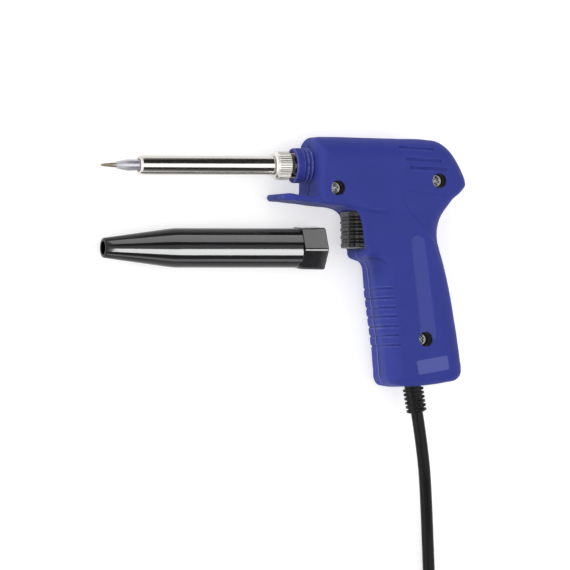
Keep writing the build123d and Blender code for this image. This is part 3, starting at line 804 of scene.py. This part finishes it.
H = 0.42
for side, left in (("left", True), ("right", False)):
    verts, quads, sunk, deep, shallow_edge = casing_half(H, left)
    edge = bulge(verts, quads, H)
    if not left:
        verts = verts * np.array([1.0, 1.0, -1.0])
        quads = quads[:, ::-1]
    ob = quads_object(side + "_casing", to_m(verts), quads)
    carry(ob, "sunk", sunk)
    seam = smooth_step(0.55, 0.30, np.abs(verts[:, 2]))          # the line where the halves meet stays dark
    # painted highlight along the front edges and the grip's grooves, not on the flat of the side or round the screw
    # holes
    side_flat = smooth_step(13.0, 15.0, np.abs(verts[:, 2])) * (1 - smooth_step(52.0, 47.0, verts[:, 0]) * smooth_step(-64.0, -66.0, verts[:, 1]))
    highlight_mask = (1 - seam) * (1 - 0.85 * side_flat)
    for bu, bv in BORES:
        highlight_mask = highlight_mask * smooth_step(5.0, 6.5, np.hypot(verts[:, 0] - bu, verts[:, 1] - bv))
    shallow = smooth_step(1.6, 0.8, np.abs(shallow_edge))
    nose_seam = smooth_step(0.75, 0.35, np.abs(verts[:, 2])) * (verts[:, 0] < 3.0)
    grip_front = smooth_step(-45.0, -50.0, verts[:, 1]) * (verts[:, 0] < 56.0)
    # painted highlight: a lighter strip on the right half beside the grip's seam
    highlight_beside_seam = smooth_step(0.2, 0.45, -verts[:, 2]) * smooth_step(1.8, 1.3, -verts[:, 2]) * grip_front
    # painted shade: a darker strip on the left half beside the grip's seam
    shade_beside_seam = smooth_step(-0.1, 0.1, verts[:, 2]) * smooth_step(1.5, 0.8, verts[:, 2]) * grip_front
    # painted shade darkening the finger hollow below the trigger lug
    shade = smooth_step(28.0, 31.0, verts[:, 0]) * smooth_step(43.0, 34.0, verts[:, 0]) * smooth_step(-67.0, -58.0, verts[:, 1]) \
        * smooth_step(0.5, -1.5, verts[:, 1] + 50.3 + 0.0455 * np.clip(verts[:, 0] - 30.7, 0, 12) ** 2) * (verts[:, 2] > 6.0)
    top_edge = -50.3 - 0.0455 * np.clip(verts[:, 0] - 30.7, 0, 12) ** 2 - 0.5 * np.clip(30.7 - verts[:, 0], 0, 6)
    # painted shadow: a dark line just under the top edge of the finger hollow
    shadow_under_edge = np.exp(-((verts[:, 1] - top_edge + 0.6) / 0.8) ** 2) * smooth_step(28.5, 30.5, verts[:, 0]) * smooth_step(42.0, 36.0, verts[:, 0]) * (verts[:, 2] > 6.0)
    # painted highlight on convex edges and on the strip beside the grip's seam
    carry(ob, "rim", np.maximum(0.8 * smooth_step(0.035, 0.15, edge) * highlight_mask * (1 - shallow), 0.6 * highlight_beside_seam))
    # painted shade in grooves, the finger hollow, under its edge and beside the grip's seam, together with the dark
    # seam joints
    carry(ob, "shade_and_joint", np.maximum(np.maximum(0.8 * smooth_step(0.04, 0.16, -edge) * (1 - shallow), 0.95 * np.maximum(seam, nose_seam)), np.maximum(np.maximum(0.40 * shade, 0.8 * shade_beside_seam), 0.75 * shadow_under_edge)))
    # painted shade in the bores and inside the shell, plus the dark nose seam joint
    carry(ob, "deep", np.maximum(deep, 0.55 * nose_seam))
    dress(ob, M["blue"])
    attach(ob, "housing")
    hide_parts(side + "_shell")
    print("casing", side, len(verts), len(quads))


# ------------------------------------------------------------------ small parts as distance fields
def field_object(name, lo, hi, h, func, smooth_sharp=None):
    """Mesh of func(U, V, W) < 0 in a box of the gun frame."""
    ax = [np.arange(lo[i] - 2 * h, hi[i] + 3 * h, h) for i in range(3)]
    U, V, W = np.meshgrid(*ax, indexing="ij", sparse=True)
    F = func(U, V, W)
    verts, quads = surface_net(np.asarray(F, dtype=np.float32), (ax[0][0], ax[1][0], ax[2][0]), h)
    return verts, quads


def join_fields(name, parts):
    vs, qs, n = [], [], 0
    for v, q in parts:
        vs.append(v)
        qs.append(q + n)
        n += len(v)
    return quads_object(name, to_m(np.concatenate(vs)), np.concatenate(qs))


# ------------------------------------------------------------------ casing screws
def screw_field(cu, cv, zb, turn, drop=0.0):
    def f(U, V, W):
        x, y, z = U - cu, V - cv, W - (zb - drop)
        r = np.hypot(x, y)
        head = round_max(r - 3.15 + 0.0 * z, np.sqrt(r * r + (z + 2.1) ** 2) - 4.25, 0.3)
        head = np.maximum(head, -z - drop + 0.0 * r)
        shank = np.maximum(r - 1.48, np.maximum(z - 0.3, -6.0 - z))
        c, s = math.cos(turn), math.sin(turn)
        a, b = np.abs(x * c + y * s), np.abs(-x * s + y * c)
        depth = (2.15 - z) * 0.30
        arm = np.minimum(np.maximum(a - 2.1 + depth, b - 0.5 + depth * 0.2), np.maximum(b - 2.1 + depth, a - 0.5 + depth * 0.2))
        arm = np.maximum(arm, 0.3 - z)
        return smax(np.minimum(head, shank), -arm, 0.08)
    return f


sh = 0.16
parts = []
for (bu, bv), turn in zip(BORES, (0.35, 1.1, 0.7)):
    top = 18.5 if bv > -60 else 16.5
    zb = top - (7.2 if bv > -60 else 9.0)
    parts.append(field_object("s", (bu - 3.3, bv - 3.3, zb - 1.6), (bu + 3.3, bv + 3.3, zb + 2.3), sh,
                              screw_field(bu, bv, zb, turn, 0.0 if bv > -60 else 0.9)))
screws = join_fields("casing_screws", parts)
dress(screws, M["screw"])
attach(screws, "housing")
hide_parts("shell_screws")

# ------------------------------------------------------------------ barrel, nut, ferrule, tip
sleeve = lathe("barrel_tube", eased([
    (-99.2, 3.45), (-100.0, 3.7), (-100.0, 4.5), (-99.55, 5.05), (-98.7, 5.28), (-97.9, 5.33), (-97.2, 5.4),
    (-21.5, 5.4), (-21.5, 5.0), (-19.4, 5.0), (-19.4, 6.35), (-17.7, 6.35), (-17.7, 4.7), (-98.8, 4.7), (-98.8, 3.45)], 0.2), n=128)
dress(sleeve, M["steel"])
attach(sleeve, "housing")
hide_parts("barrel_sleeve")

TEETH = 34
nut_prof = eased([(-21.3, 5.15), (-21.3, 6.75), (-20.9, 7.3), (-20.2, 7.72), (-19.75, 7.78)], 0.15)
k0 = len(nut_prof)
nut_prof += [(-19.6, 8.03), (-19.0, 8.05), (-17.0, 8.05), (-15.0, 8.05), (-13.2, 8.05), (-12.95, 8.02)]
k1 = len(nut_prof)
nut_prof += [(-12.8, 7.74), (-12.5, 7.6), (-12.4, 7.3), (-12.4, 6.5), (-19.45, 6.5), (-19.45, 5.15)]


def knurl(j, u, r, a):
    if k0 <= j < k1:
        k = a * TEETH / (2 * math.pi)
        t = k % 1.0
        deep = 0.30 + 0.12 * math.sin(2.4 * round(k))          # the knurl is pressed in unevenly
        return r - deep * (1 - min(1.0, 6.0 * min(t, 1 - t)))
    return r


nut = lathe("knurled_nut", nut_prof, n=TEETH * 8, radius_at=knurl, sharp=40)
dress(nut, M["nut"])
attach(nut, "nut")
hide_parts("barrel_nut")

ferrule = lathe("ferrule", eased([
    (-17.6, 5.0), (-17.6, 6.44), (-12.6, 6.44), (-12.3, 6.2), (-11.6, 6.3), (-10.9, 6.75), (-10.2, 6.9), (4.95, 6.9),
    (4.95, 8.0), (8.05, 8.0), (8.05, 6.9), (11.8, 6.9), (11.8, 5.0)], 0.15), n=96)
dress(ferrule, M["chrome"])
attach(ferrule, "housing")
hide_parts("threaded_ferrule")

seal = lathe("neck_ring", eased([(-8.5, 6.93), (-8.5, 7.25), (-8.15, 7.68), (-2.1, 7.68), (-2.1, 6.93)], 0.2), n=96)
dress(seal, M["seal"])
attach(seal, "housing")
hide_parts("neck_seal_ring")

tip = lathe("tip", [
    (-122.13, 0), (-122.11, 0.3), (-121.99, 0.52), (-121.7, 0.68), (-121.27, 0.74), (-119.07, 0.93), (-115.73, 1.24),
    (-112.96, 1.50), (-112.62, 1.56), (-112.53, 1.72), (-112.43, 1.98), (-112.09, 2.12), (-111.04, 2.33), (-109.7, 2.62),
    (-108.46, 2.90), (-107.41, 3.10), (-106.45, 3.22), (-105.5, 3.26), (-104.35, 3.24), (-102.82, 3.17), (-100.91, 3.15),
    (-98.95, 3.15), (-98.95, 4.25), (-97.25, 4.25), (-97.25, 2.95), (-62.3, 2.95), (-62.0, 2.6), (-62.0, 0)], n=72, sharp=40)
dress(tip, M["tip"])
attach(tip, "housing")
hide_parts("soldering_tip")

# ------------------------------------------------------------------ trigger
LOBES = (-27.3, -31.0, -35.0, -39.3, -43.1)
VALLEYS = (-29.25, -33.1, -37.15, -41.45)


PLAN = np.array([(20.45, 0.0), (20.5, 6.5), (20.9, 7.4), (22.6, 7.9), (22.9, 8.6), (22.2, 9.4), (22.6, 10.4), (23.9, 12.1),
                 (24.5, 12.5), (25.2, 12.4), (25.4, 11.7), (30.9, 11.7), (30.9, 0.0)])


def plan_distance(U, A):
    """Signed distance to the button's plan, for points at (u, |w|)."""
    best = None
    inside = np.zeros(np.broadcast(U, A).shape, bool)
    pts = np.concatenate([PLAN, PLAN[:1]])
    for (u0, a0), (u1, a1) in zip(pts, pts[1:]):
        du, da = u1 - u0, a1 - a0
        if a0 <= 0 and a1 <= 0:
            continue
        t = np.clip(((U - u0) * du + (A - a0) * da) / (du * du + da * da), 0, 1)
        d = np.hypot(U - u0 - t * du, A - a0 - t * da)
        best = d if best is None else np.minimum(best, d)
        if da != 0:
            hit = (a0 > A) != (a1 > A)
            inside ^= hit & (U < u0 + (A - a0) / da * du)
    return np.where(inside, -best, best)


def trigger_field(U, V, W):
    aw = np.abs(W)
    plan = plan_distance(U + 0.0 * aw, aw + 0.0 * U)
    lean = (-25.5 - V) * 0.02
    val = np.zeros_like(V)
    for g in VALLEYS:           # a thin rib in each valley, between two grooves
        x = np.abs(V - g)
        val = np.maximum(val, np.clip(1 - np.abs(x - 0.78) / 0.46, 0, 1) ** 0.7)
        val = np.maximum(val, 0.3 * smooth_step(1.15, 0.75, x))
    fade = smooth_step(29.5, 27.5, U) * (0.8 + 0.2 * smooth_step(7.0, 9.5, aw))
    plan = plan + lean + 1.0 * val * fade
    ends = np.maximum(V + 25.55, -45.35 - V)
    body = round_max(plan, ends + 0.0 * plan, 0.9)
    body = np.maximum(body, U - 31.4)
    flange = np.maximum(np.maximum(aw - 13.78, np.maximum(30.95 - U, U - 33.35)), np.maximum(V + 26.15, -46.95 - V))
    stem = np.maximum(np.hypot(V + 35.5, W) - 2.58, np.maximum(33.0 - U, U - 42.45))
    return np.minimum(np.minimum(body, flange), stem)


th = 0.2
trig = join_fields("trigger_button", [field_object("t", (20.2, -47.2, -14.0), (42.7, -25.3, 14.0), th, trigger_field)])
dress(trig, M["black"])
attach(trig, "trigger")
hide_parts("trigger")

# ------------------------------------------------------------------ strain relief
relief_frame = ((60.3, -121.8, 0.0), (0.1625, -0.9867, 0.0), (0.0, 0.0, 1.0), (0.9867, 0.1625, 0.0))
rp = [(-5.3, 3.45), (-5.3, 6.4), (-3.3, 6.4), (-3.3, 4.65), (0.55, 4.65)]
ring_of = {}
for i in range(6):
    s = 0.75 + 2.32 * i
    big = 5.85 - 0.04 * i
    for ds, r in ((0.0, 4.62), (0.05, 5.4), (0.25, big - 0.05), (0.80, big), (1.40, big - 0.06), (1.62, 5.4), (1.68, 4.62)):
        ring_of[len(rp)] = i
        rp.append((s + ds, r))
rp += [(14.2, 4.6), (14.45, 4.45), (14.5, 4.2), (14.5, 3.45)]


def slots(j, s, r, a):
    """Every other ring is cut through at the front and back, the rest at the sides."""
    i = ring_of.get(j)
    if i is None or r < 4.8:
        return r
    ph = 0.55 if i % 2 == 0 else 0.55 + math.pi / 2
    d = abs((a - ph + math.pi / 2) % math.pi - math.pi / 2)
    cut = max(0.0, min(1.0, (0.30 - d) / 0.07))
    return r - (r - 4.62) * cut


relief = lathe("strain_relief_sleeve", rp, n=96, frame=relief_frame, radius_at=slots, sharp=50)
dress(relief, M["relief"])
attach(relief, "housing")
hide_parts("strain_relief")

# ------------------------------------------------------------------ protective cap
turn = math.radians(-5.0)
cap_frame = ((0.0, -45.2, 13.25 - Z0), (1, 0, 0), (0, math.sin(turn), math.cos(turn)), (0, math.cos(turn), -math.sin(turn)))
cap_prof = [
    (-119.2, 3.9), (-119.2, 4.9), (-119.05, 5.25), (-118.8, 5.45), (-118.3, 5.6), (-110, 6.72), (-100, 8.05), (-90, 9.38),
    (-82.5, 10.36), (-79.5, 10.70), (-77.0, 10.86), (-74.0, 10.9), (-60, 10.9), (-45, 10.9), (-30, 10.9), (-15, 10.9), (-5.5, 10.9)]
c0 = len(cap_prof)
cap_prof += [(-5.25, 11.15), (-5.05, 11.28), (-1.5, 11.40), (3.0, 11.5), (7.6, 11.58), (8.2, 11.5), (8.6, 11.25)]
c1 = len(cap_prof)
cap_prof += [(8.7, 10.6), (8.7, 10.05), (8.55, 9.95), (-3.0, 9.95), (-3.0, 9.4), (-77.0, 9.4), (-117.0, 3.7), (-118.9, 3.7)]


def hexed(j, u, r, a):
    """r is the distance to the flats where the collar is; corners are eased."""
    if not (c0 <= j < c1):
        return r
    d = ((a + math.pi / 6) % (math.pi / 3)) - math.pi / 6
    flat = r / math.cos(math.pi / 6 - abs(d))
    corner = r / math.cos(math.pi / 6)
    x = abs(d)
    lim = 0.10
    if x < lim:
        edge = r / math.cos(math.pi / 6 - lim)
        return edge + (corner - edge) * 0.55 * (1 - (x / lim) ** 2)
    return flat


def cap_angles():
    """More columns next to the six corners, so that they stay crisp."""
    out = []
    for k in range(6):
        base = k * math.pi / 3
        for d in (0.0, 0.02, 0.04, 0.06, 0.08, 0.10, 0.12, 0.16, 0.22, 0.30, 0.40, 0.5236, 0.65, 0.75, 0.83, 0.89,
                  0.927, 0.947, 0.967, 0.987, 1.007, 1.027):
            out.append(base + d)
    return out


def lathe_at(name, prof, angles, frame, radius_at, sharp):
    org, ax, e0, e1 = (np.array(q, float) for q in frame)
    n = len(angles)
    verts = []
    for j, (s, r) in enumerate(prof):
        for a in angles:
            rr = radius_at(j, s, r, a)
            verts.append(org + ax * s + rr * (math.cos(a) * e0 + math.sin(a) * e1))
    faces = []
    m = len(prof)
    for j in range(m):
        for i in range(n):
            faces.append((j * n + i, j * n + (i + 1) % n, ((j + 1) % m) * n + (i + 1) % n, ((j + 1) % m) * n + i))
    ob = new_object(name, to_m(np.array(verts)), faces, sharp=sharp)
    recalc(ob)
    return ob


cap = lathe_at("cap", cap_prof, cap_angles(), cap_frame, hexed, 24)
dress(cap, M["cap"])
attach(cap, "cap")
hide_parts("protective_cap")

# ------------------------------------------------------------------ plug on the far end of the lead
PLUG_O = np.array([-34.0, -332.0, 0.0])


def plug_field(U, V, W):
    x = PLUG_O[0] - U
    y, z = V - PLUG_O[1], W - PLUG_O[2]
    r = np.hypot(y, z)
    pr = np.interp(np.clip(x, -0.4, 37.4), [0, 3, 8, 12, 15, 17, 18.6, 19.5, 37.0], [4.7, 5.2, 6.5, 8.7, 12.2, 16.0, 18.1, 18.4, 18.4])
    body = (r - pr) * 0.72
    body = round_max(body, x - 37.0 + 0.0 * r, 1.2)
    body = np.maximum(body, -x + 0.0 * r)
    # ribs on the neck
    for s in (2.2, 4.6, 7.0):
        body = smax(body, -np.maximum(np.abs(x - s) - 0.55, (pr - 0.8) - r), 0.25)
    # sunk grips on the two sides
    grip = np.maximum(np.maximum(np.abs(x - 27.5) - 6.5, np.abs(z) - 7.5), 16.6 - np.abs(y))
    body = smax(body, -grip, 0.8)
    for s in (23.4, 26.1, 28.8, 31.5):
        rib = np.maximum(np.maximum(np.abs(x - s) - 0.55, np.abs(z) - 6.3), np.abs(y) - 17.15)
        body = smin(body, rib, 0.5)
    # channels for the earth springs
    chan = np.maximum(np.maximum(31.0 - x, np.abs(y) - 3.0), 16.6 - np.abs(z))
    return smax(body, -chan, 0.4)


ph = 0.55
plug = join_fields("plug", [field_object("p", (-71.2, -350.6, -18.5), (-33.8, -313.4, 18.5), ph, plug_field)])
dress(plug, M["plug"])
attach(plug, "housing")
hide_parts("plug_body")

parts = []
for dz in (-9.5, 9.5):
    fr = ((-64.8, -332.0 + dz, 0.0), (-1, 0, 0), (0, 0, 1), (0, 1, 0))
    parts.append(lathe("plug_pin_" + ("a" if dz < 0 else "b"), [
        (0, 0), (0, 2.2), (0.2, 2.39), (22.6, 2.39), (24.0, 2.2), (24.8, 1.6), (25.15, 0.9), (25.2, 0)], n=48, frame=fr))
for q in parts:
    dress(q, M["nickel"])
    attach(q, "housing")
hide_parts("plug_pins")
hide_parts("plug_pins")


# ------------------------------------------------------------------ ties round the coil
def strap(name, ang):
    loop = [(27.2, 0.45), (47.4, 0.45), (48.2, 1.2), (48.35, 4.6), (48.0, 7.2), (46.6, 9.2), (42.2, 13.8), (40.9, 14.9),
            (39.4, 15.2), (28.0, 15.2), (26.6, 14.7), (26.1, 13.4), (26.1, 8.0), (26.1, 2.2), (26.4, 0.9)]
    pts = np.array(loop)
    n = len(pts)
    ca, sa = math.cos(ang), math.sin(ang)
    verts, faces = [], []
    sect = [(-2.5, 0.0), (-2.3, 0.42), (2.3, 0.42), (2.5, 0.0), (2.3, -0.42), (-2.3, -0.42)]
    for i in range(n):
        t = pts[(i + 1) % n] - pts[i - 1]
        t /= np.linalg.norm(t)
        nrm = np.array([t[1], -t[0]])
        for s, d in sect:
            r, z = pts[i] + nrm * d
            z = max(z, 0.02)
            x, y = COIL_C[0] + r * ca - s * sa, COIL_C[1] + r * sa + s * ca
            verts.append((x, y, z - Z0))
    m = len(sect)
    for i in range(n):
        for k in range(m):
            a, b = i * m + k, i * m + (k + 1) % m
            c, d = ((i + 1) % n) * m + (k + 1) % m, ((i + 1) % n) * m + k
            faces.append((a, b, c, d))
    # the head that holds the strap's end
    hx, hr, hz = 3.1, 33.0, 16.0
    base = len(verts)
    for dz in (-0.55, -0.1, 0.0):
        k = 1.0 if dz < -0.05 and dz > -0.2 else 0.93
        for s, r in ((-3.1, -2.6), (3.1, -2.6), (3.1, 2.6), (-3.1, 2.6)):
            rr, ss = hr + r * k, s * k
            verts.append((COIL_C[0] + rr * ca - ss * sa, COIL_C[1] + rr * sa + ss * ca, 15.85 + dz - Z0))
    for lv in (0, 1):
        for k in range(4):
            a, b = base + lv * 4 + k, base + lv * 4 + (k + 1) % 4
            faces.append((a, b, b + 4, a + 4))
    faces.append((base + 8, base + 9, base + 10, base + 11))
    faces.append((base + 3, base + 2, base + 1, base))
    ob = new_object(name, to_m(verts), faces, sharp=40)
    recalc(ob)
    return ob


for nm, deg in (("tie_a", 100.0), ("tie_b", 215.0)):
    q = strap(nm, math.radians(deg))
    dress(q, M["relief"])
    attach(q, "housing")
    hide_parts("coil_ties")

# ------------------------------------------------------------------ spring between the trigger and the switch
def coil_spring(name, u0, u1, v, radius, pitch, wire):
    turns = (u1 - u0) / pitch
    m, k = int(turns * 28), 10
    verts, faces = [], []
    for i in range(m + 1):
        a = 2 * math.pi * turns * i / m
        out = np.array([0.0, math.cos(a), math.sin(a)])
        c = np.array([u0 + (u1 - u0) * i / m, v, 0.0]) + out * radius
        along = np.array([pitch / (2 * math.pi), -radius * math.sin(a), radius * math.cos(a)])
        along /= np.linalg.norm(along)
        up = np.cross(along, out)
        for j in range(k):
            b = 2 * math.pi * j / k
            verts.append(c + wire * (math.cos(b) * out + math.sin(b) * up))
    for i in range(m):
        for j in range(k):
            faces.append((i * k + j, i * k + (j + 1) % k, (i + 1) * k + (j + 1) % k, (i + 1) * k + j))
    faces.append(tuple(range(k))[::-1])
    faces.append(tuple(m * k + j for j in range(k)))
    ob = new_object(name, to_m(verts), faces, sharp=50)
    recalc(ob)
    return ob


spring = coil_spring("return_spring", 34.2, 45.6, -35.5, 4.0, 1.7, 0.45)
dress(spring, M["spring"])
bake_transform(spring)
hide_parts("trigger_spring")

# ------------------------------------------------------------------ CAD parts that stay as they are
KEEP = {
    "heating_element": "ceramic", "mica_wrap": "mica", "element_insulator": "ceramic", "switch_body": "black",
    "switch_pins": "zinc", "switch_plunger": "term", "power_diode": "black",
    "terminal_block": "term", "terminal_screws": "brass", "cord_inner_end": "cord", "cord_clamp": "grey",
    "clamp_screws": "zinc", "live_wire": "brown", "neutral_wire": "bluew", "earth_wire": "green",
    "earth_tag": "brass", "element_lead_a": "glass_sleeve", "element_lead_b": "glass_sleeve",
    "plug_earth_clips": "nickel",
}
for node, mat in KEEP.items():
    ob = bpy.data.objects.get(node)
    for s in ob.material_slots:
        s.material = M[mat]
    if not ob.material_slots:
        ob.data.materials.append(M[mat])

# ------------------------------------------------------------------ stage
def stage_plane(name, size, z, colour, rough):
    me = bpy.data.meshes.new(name)
    s = size / 2
    me.from_pydata([(-s, -s, z), (s, -s, z), (s, s, z), (-s, s, z)], [], [(0, 1, 2, 3)])
    ob = bpy.data.objects.new(name, me)
    bpy.context.scene.collection.objects.link(ob)
    m = bpy.data.materials.new(name)
    m.use_nodes = True
    b = m.node_tree.nodes["Principled BSDF"]
    b.inputs["Base Color"].default_value = colour
    b.inputs["Roughness"].default_value = rough
    b.inputs["Specular IOR Level"].default_value = 0.1
    b.inputs["Emission Color"].default_value = (1, 1, 1, 1)
    b.inputs["Emission Strength"].default_value = 0.5      # a softly lit table, which keeps the shadows pale
    ob.data.materials.append(m)
    return ob


stage_plane("floor", 6.0, -0.0002, (0.66, 0.66, 0.66, 1), 0.9)

# light tent: brightness by direction, from the grip side (-Y) to the barrel side (+Y) and from tip (-X) to rear (+X)
TENT = [(-1.0, 0.9), (-0.5, 1.0), (0.3, 1.0), (0.8, 0.9), (1.0, 0.9)]
TENT_X = [(-1.0, 2.2), (-0.8, 2.0), (-0.65, 0.95), (-0.35, 0.95), (-0.12, 1.9), (0.6, 1.6), (1.0, 1.2)]
BAND = [(-1.0, 0.45), (-0.92, 0.17), (-0.87, 0.15), (-0.80, 0.06), (-0.72, 0.01), (-0.42, 0.01), (-0.35, 1.0), (0.22, 1.0),
        (0.29, 0.01), (0.84, 0.01), (0.90, 0.06), (1.0, 0.30)]
WINDOW = [(-1.0, 0.0), (-0.10, 0.0), (0.0, 1.0), (0.62, 1.0), (0.72, 0.0), (1.0, 0.0)]
BAND_LEVEL = 2.1
world = bpy.data.worlds.new("studio")
bpy.context.scene.world = world
world.use_nodes = True
wt = world.node_tree
bg = wt.nodes["Background"]
direction = wt.nodes.new("ShaderNodeTexCoord").outputs["Generated"]
sep = wt.nodes.new("ShaderNodeSeparateXYZ")
wt.links.new(direction, sep.inputs[0])


def profile(out, stops):
    """Brightness along one direction component, given as (component, brightness)."""
    rng = wt.nodes.new("ShaderNodeMapRange")
    rng.inputs["From Min"].default_value = -1.0
    rng.inputs["From Max"].default_value = 1.0
    wt.links.new(out, rng.inputs["Value"])
    ramp = wt.nodes.new("ShaderNodeValToRGB")
    e = ramp.color_ramp.elements
    while len(e) < len(stops):
        e.new(0.5)
    for s, (p, c) in zip(e, stops):
        s.position = (p + 1) / 2
        s.color = (c, c, c, 1)
    wt.links.new(rng.outputs["Result"], ramp.inputs["Fac"])
    return ramp.outputs["Color"]


def math_node(op, a, b):
    n = wt.nodes.new("ShaderNodeMath")
    n.operation = op
    for s, x in zip(n.inputs, (a, b)):
        if isinstance(x, (int, float)):
            s.default_value = x
        else:
            wt.links.new(x, s)
    return n.outputs[0]


tent = math_node("MULTIPLY", math_node("MULTIPLY", profile(sep.outputs["Y"], TENT), 1.0),
                 math_node("MULTIPLY", profile(sep.outputs["X"], [(p, c / 2.5) for p, c in TENT_X]), 2.5))
band = math_node("MULTIPLY", profile(sep.outputs["Y"], BAND), BAND_LEVEL)
window = profile(sep.outputs["X"], WINDOW)
inside = math_node("MULTIPLY", band, window)
outside = math_node("MULTIPLY", tent, math_node("SUBTRACT", 1.0, window))
wt.links.new(math_node("ADD", inside, outside), bg.inputs["Strength"])
bg.inputs["Color"].default_value = (1.0, 0.995, 0.985, 1)



def strip_lamp(name, only, centre, normal, size_x, size_y, power):
    """A long soft box whose light falls on one piece only, as when that piece is lit on its own."""
    data = bpy.data.lights.new(name, "AREA")
    data.shape = "RECTANGLE"
    data.size, data.size_y = size_x, size_y
    data.energy = power
    ob = bpy.data.objects.new(name, data)
    bpy.context.scene.collection.objects.link(ob)
    n = Vector(normal).normalized()
    ex = Vector((1, 0, 0))
    ex = (ex - n * ex.dot(n)).normalized()
    ey = n.cross(ex)
    ob.matrix_world = Matrix.Translation(centre) @ Matrix((ex, ey, n)).transposed().to_4x4()
    group = bpy.data.collections.new(name + "_lit")
    group.objects.link(only)
    ob.light_linking.receiver_collection = group
    ob.light_linking.blocker_collection = group
    return ob


at_cap = Vector(to_m((-50.0, -45.2, 13.25 - Z0)))
for name, y_mid, width, power in (("cap_key", -0.42, 0.90, 125.0), ("cap_fill", 0.77, 1.15, 31.0), ("cap_low", -0.915, 0.42, 6.5)):
    d = Vector((0.30, y_mid * 0.954 / 0.934, 0.0))
    d.z = math.sqrt(max(0.0, 1 - d.x ** 2 - d.y ** 2))
    strip_lamp(name, cap, at_cap + d * 1.5, d, 1.1, width, power)

# the casing and what it holds are left out of mirror reflections, which keeps the cap's bands unbroken beside it
for o in bpy.data.objects:
    if o.type == "MESH" and o.name in set(KEEP) | {"left_casing", "right_casing", "return_spring"}:
        o.visible_glossy = False
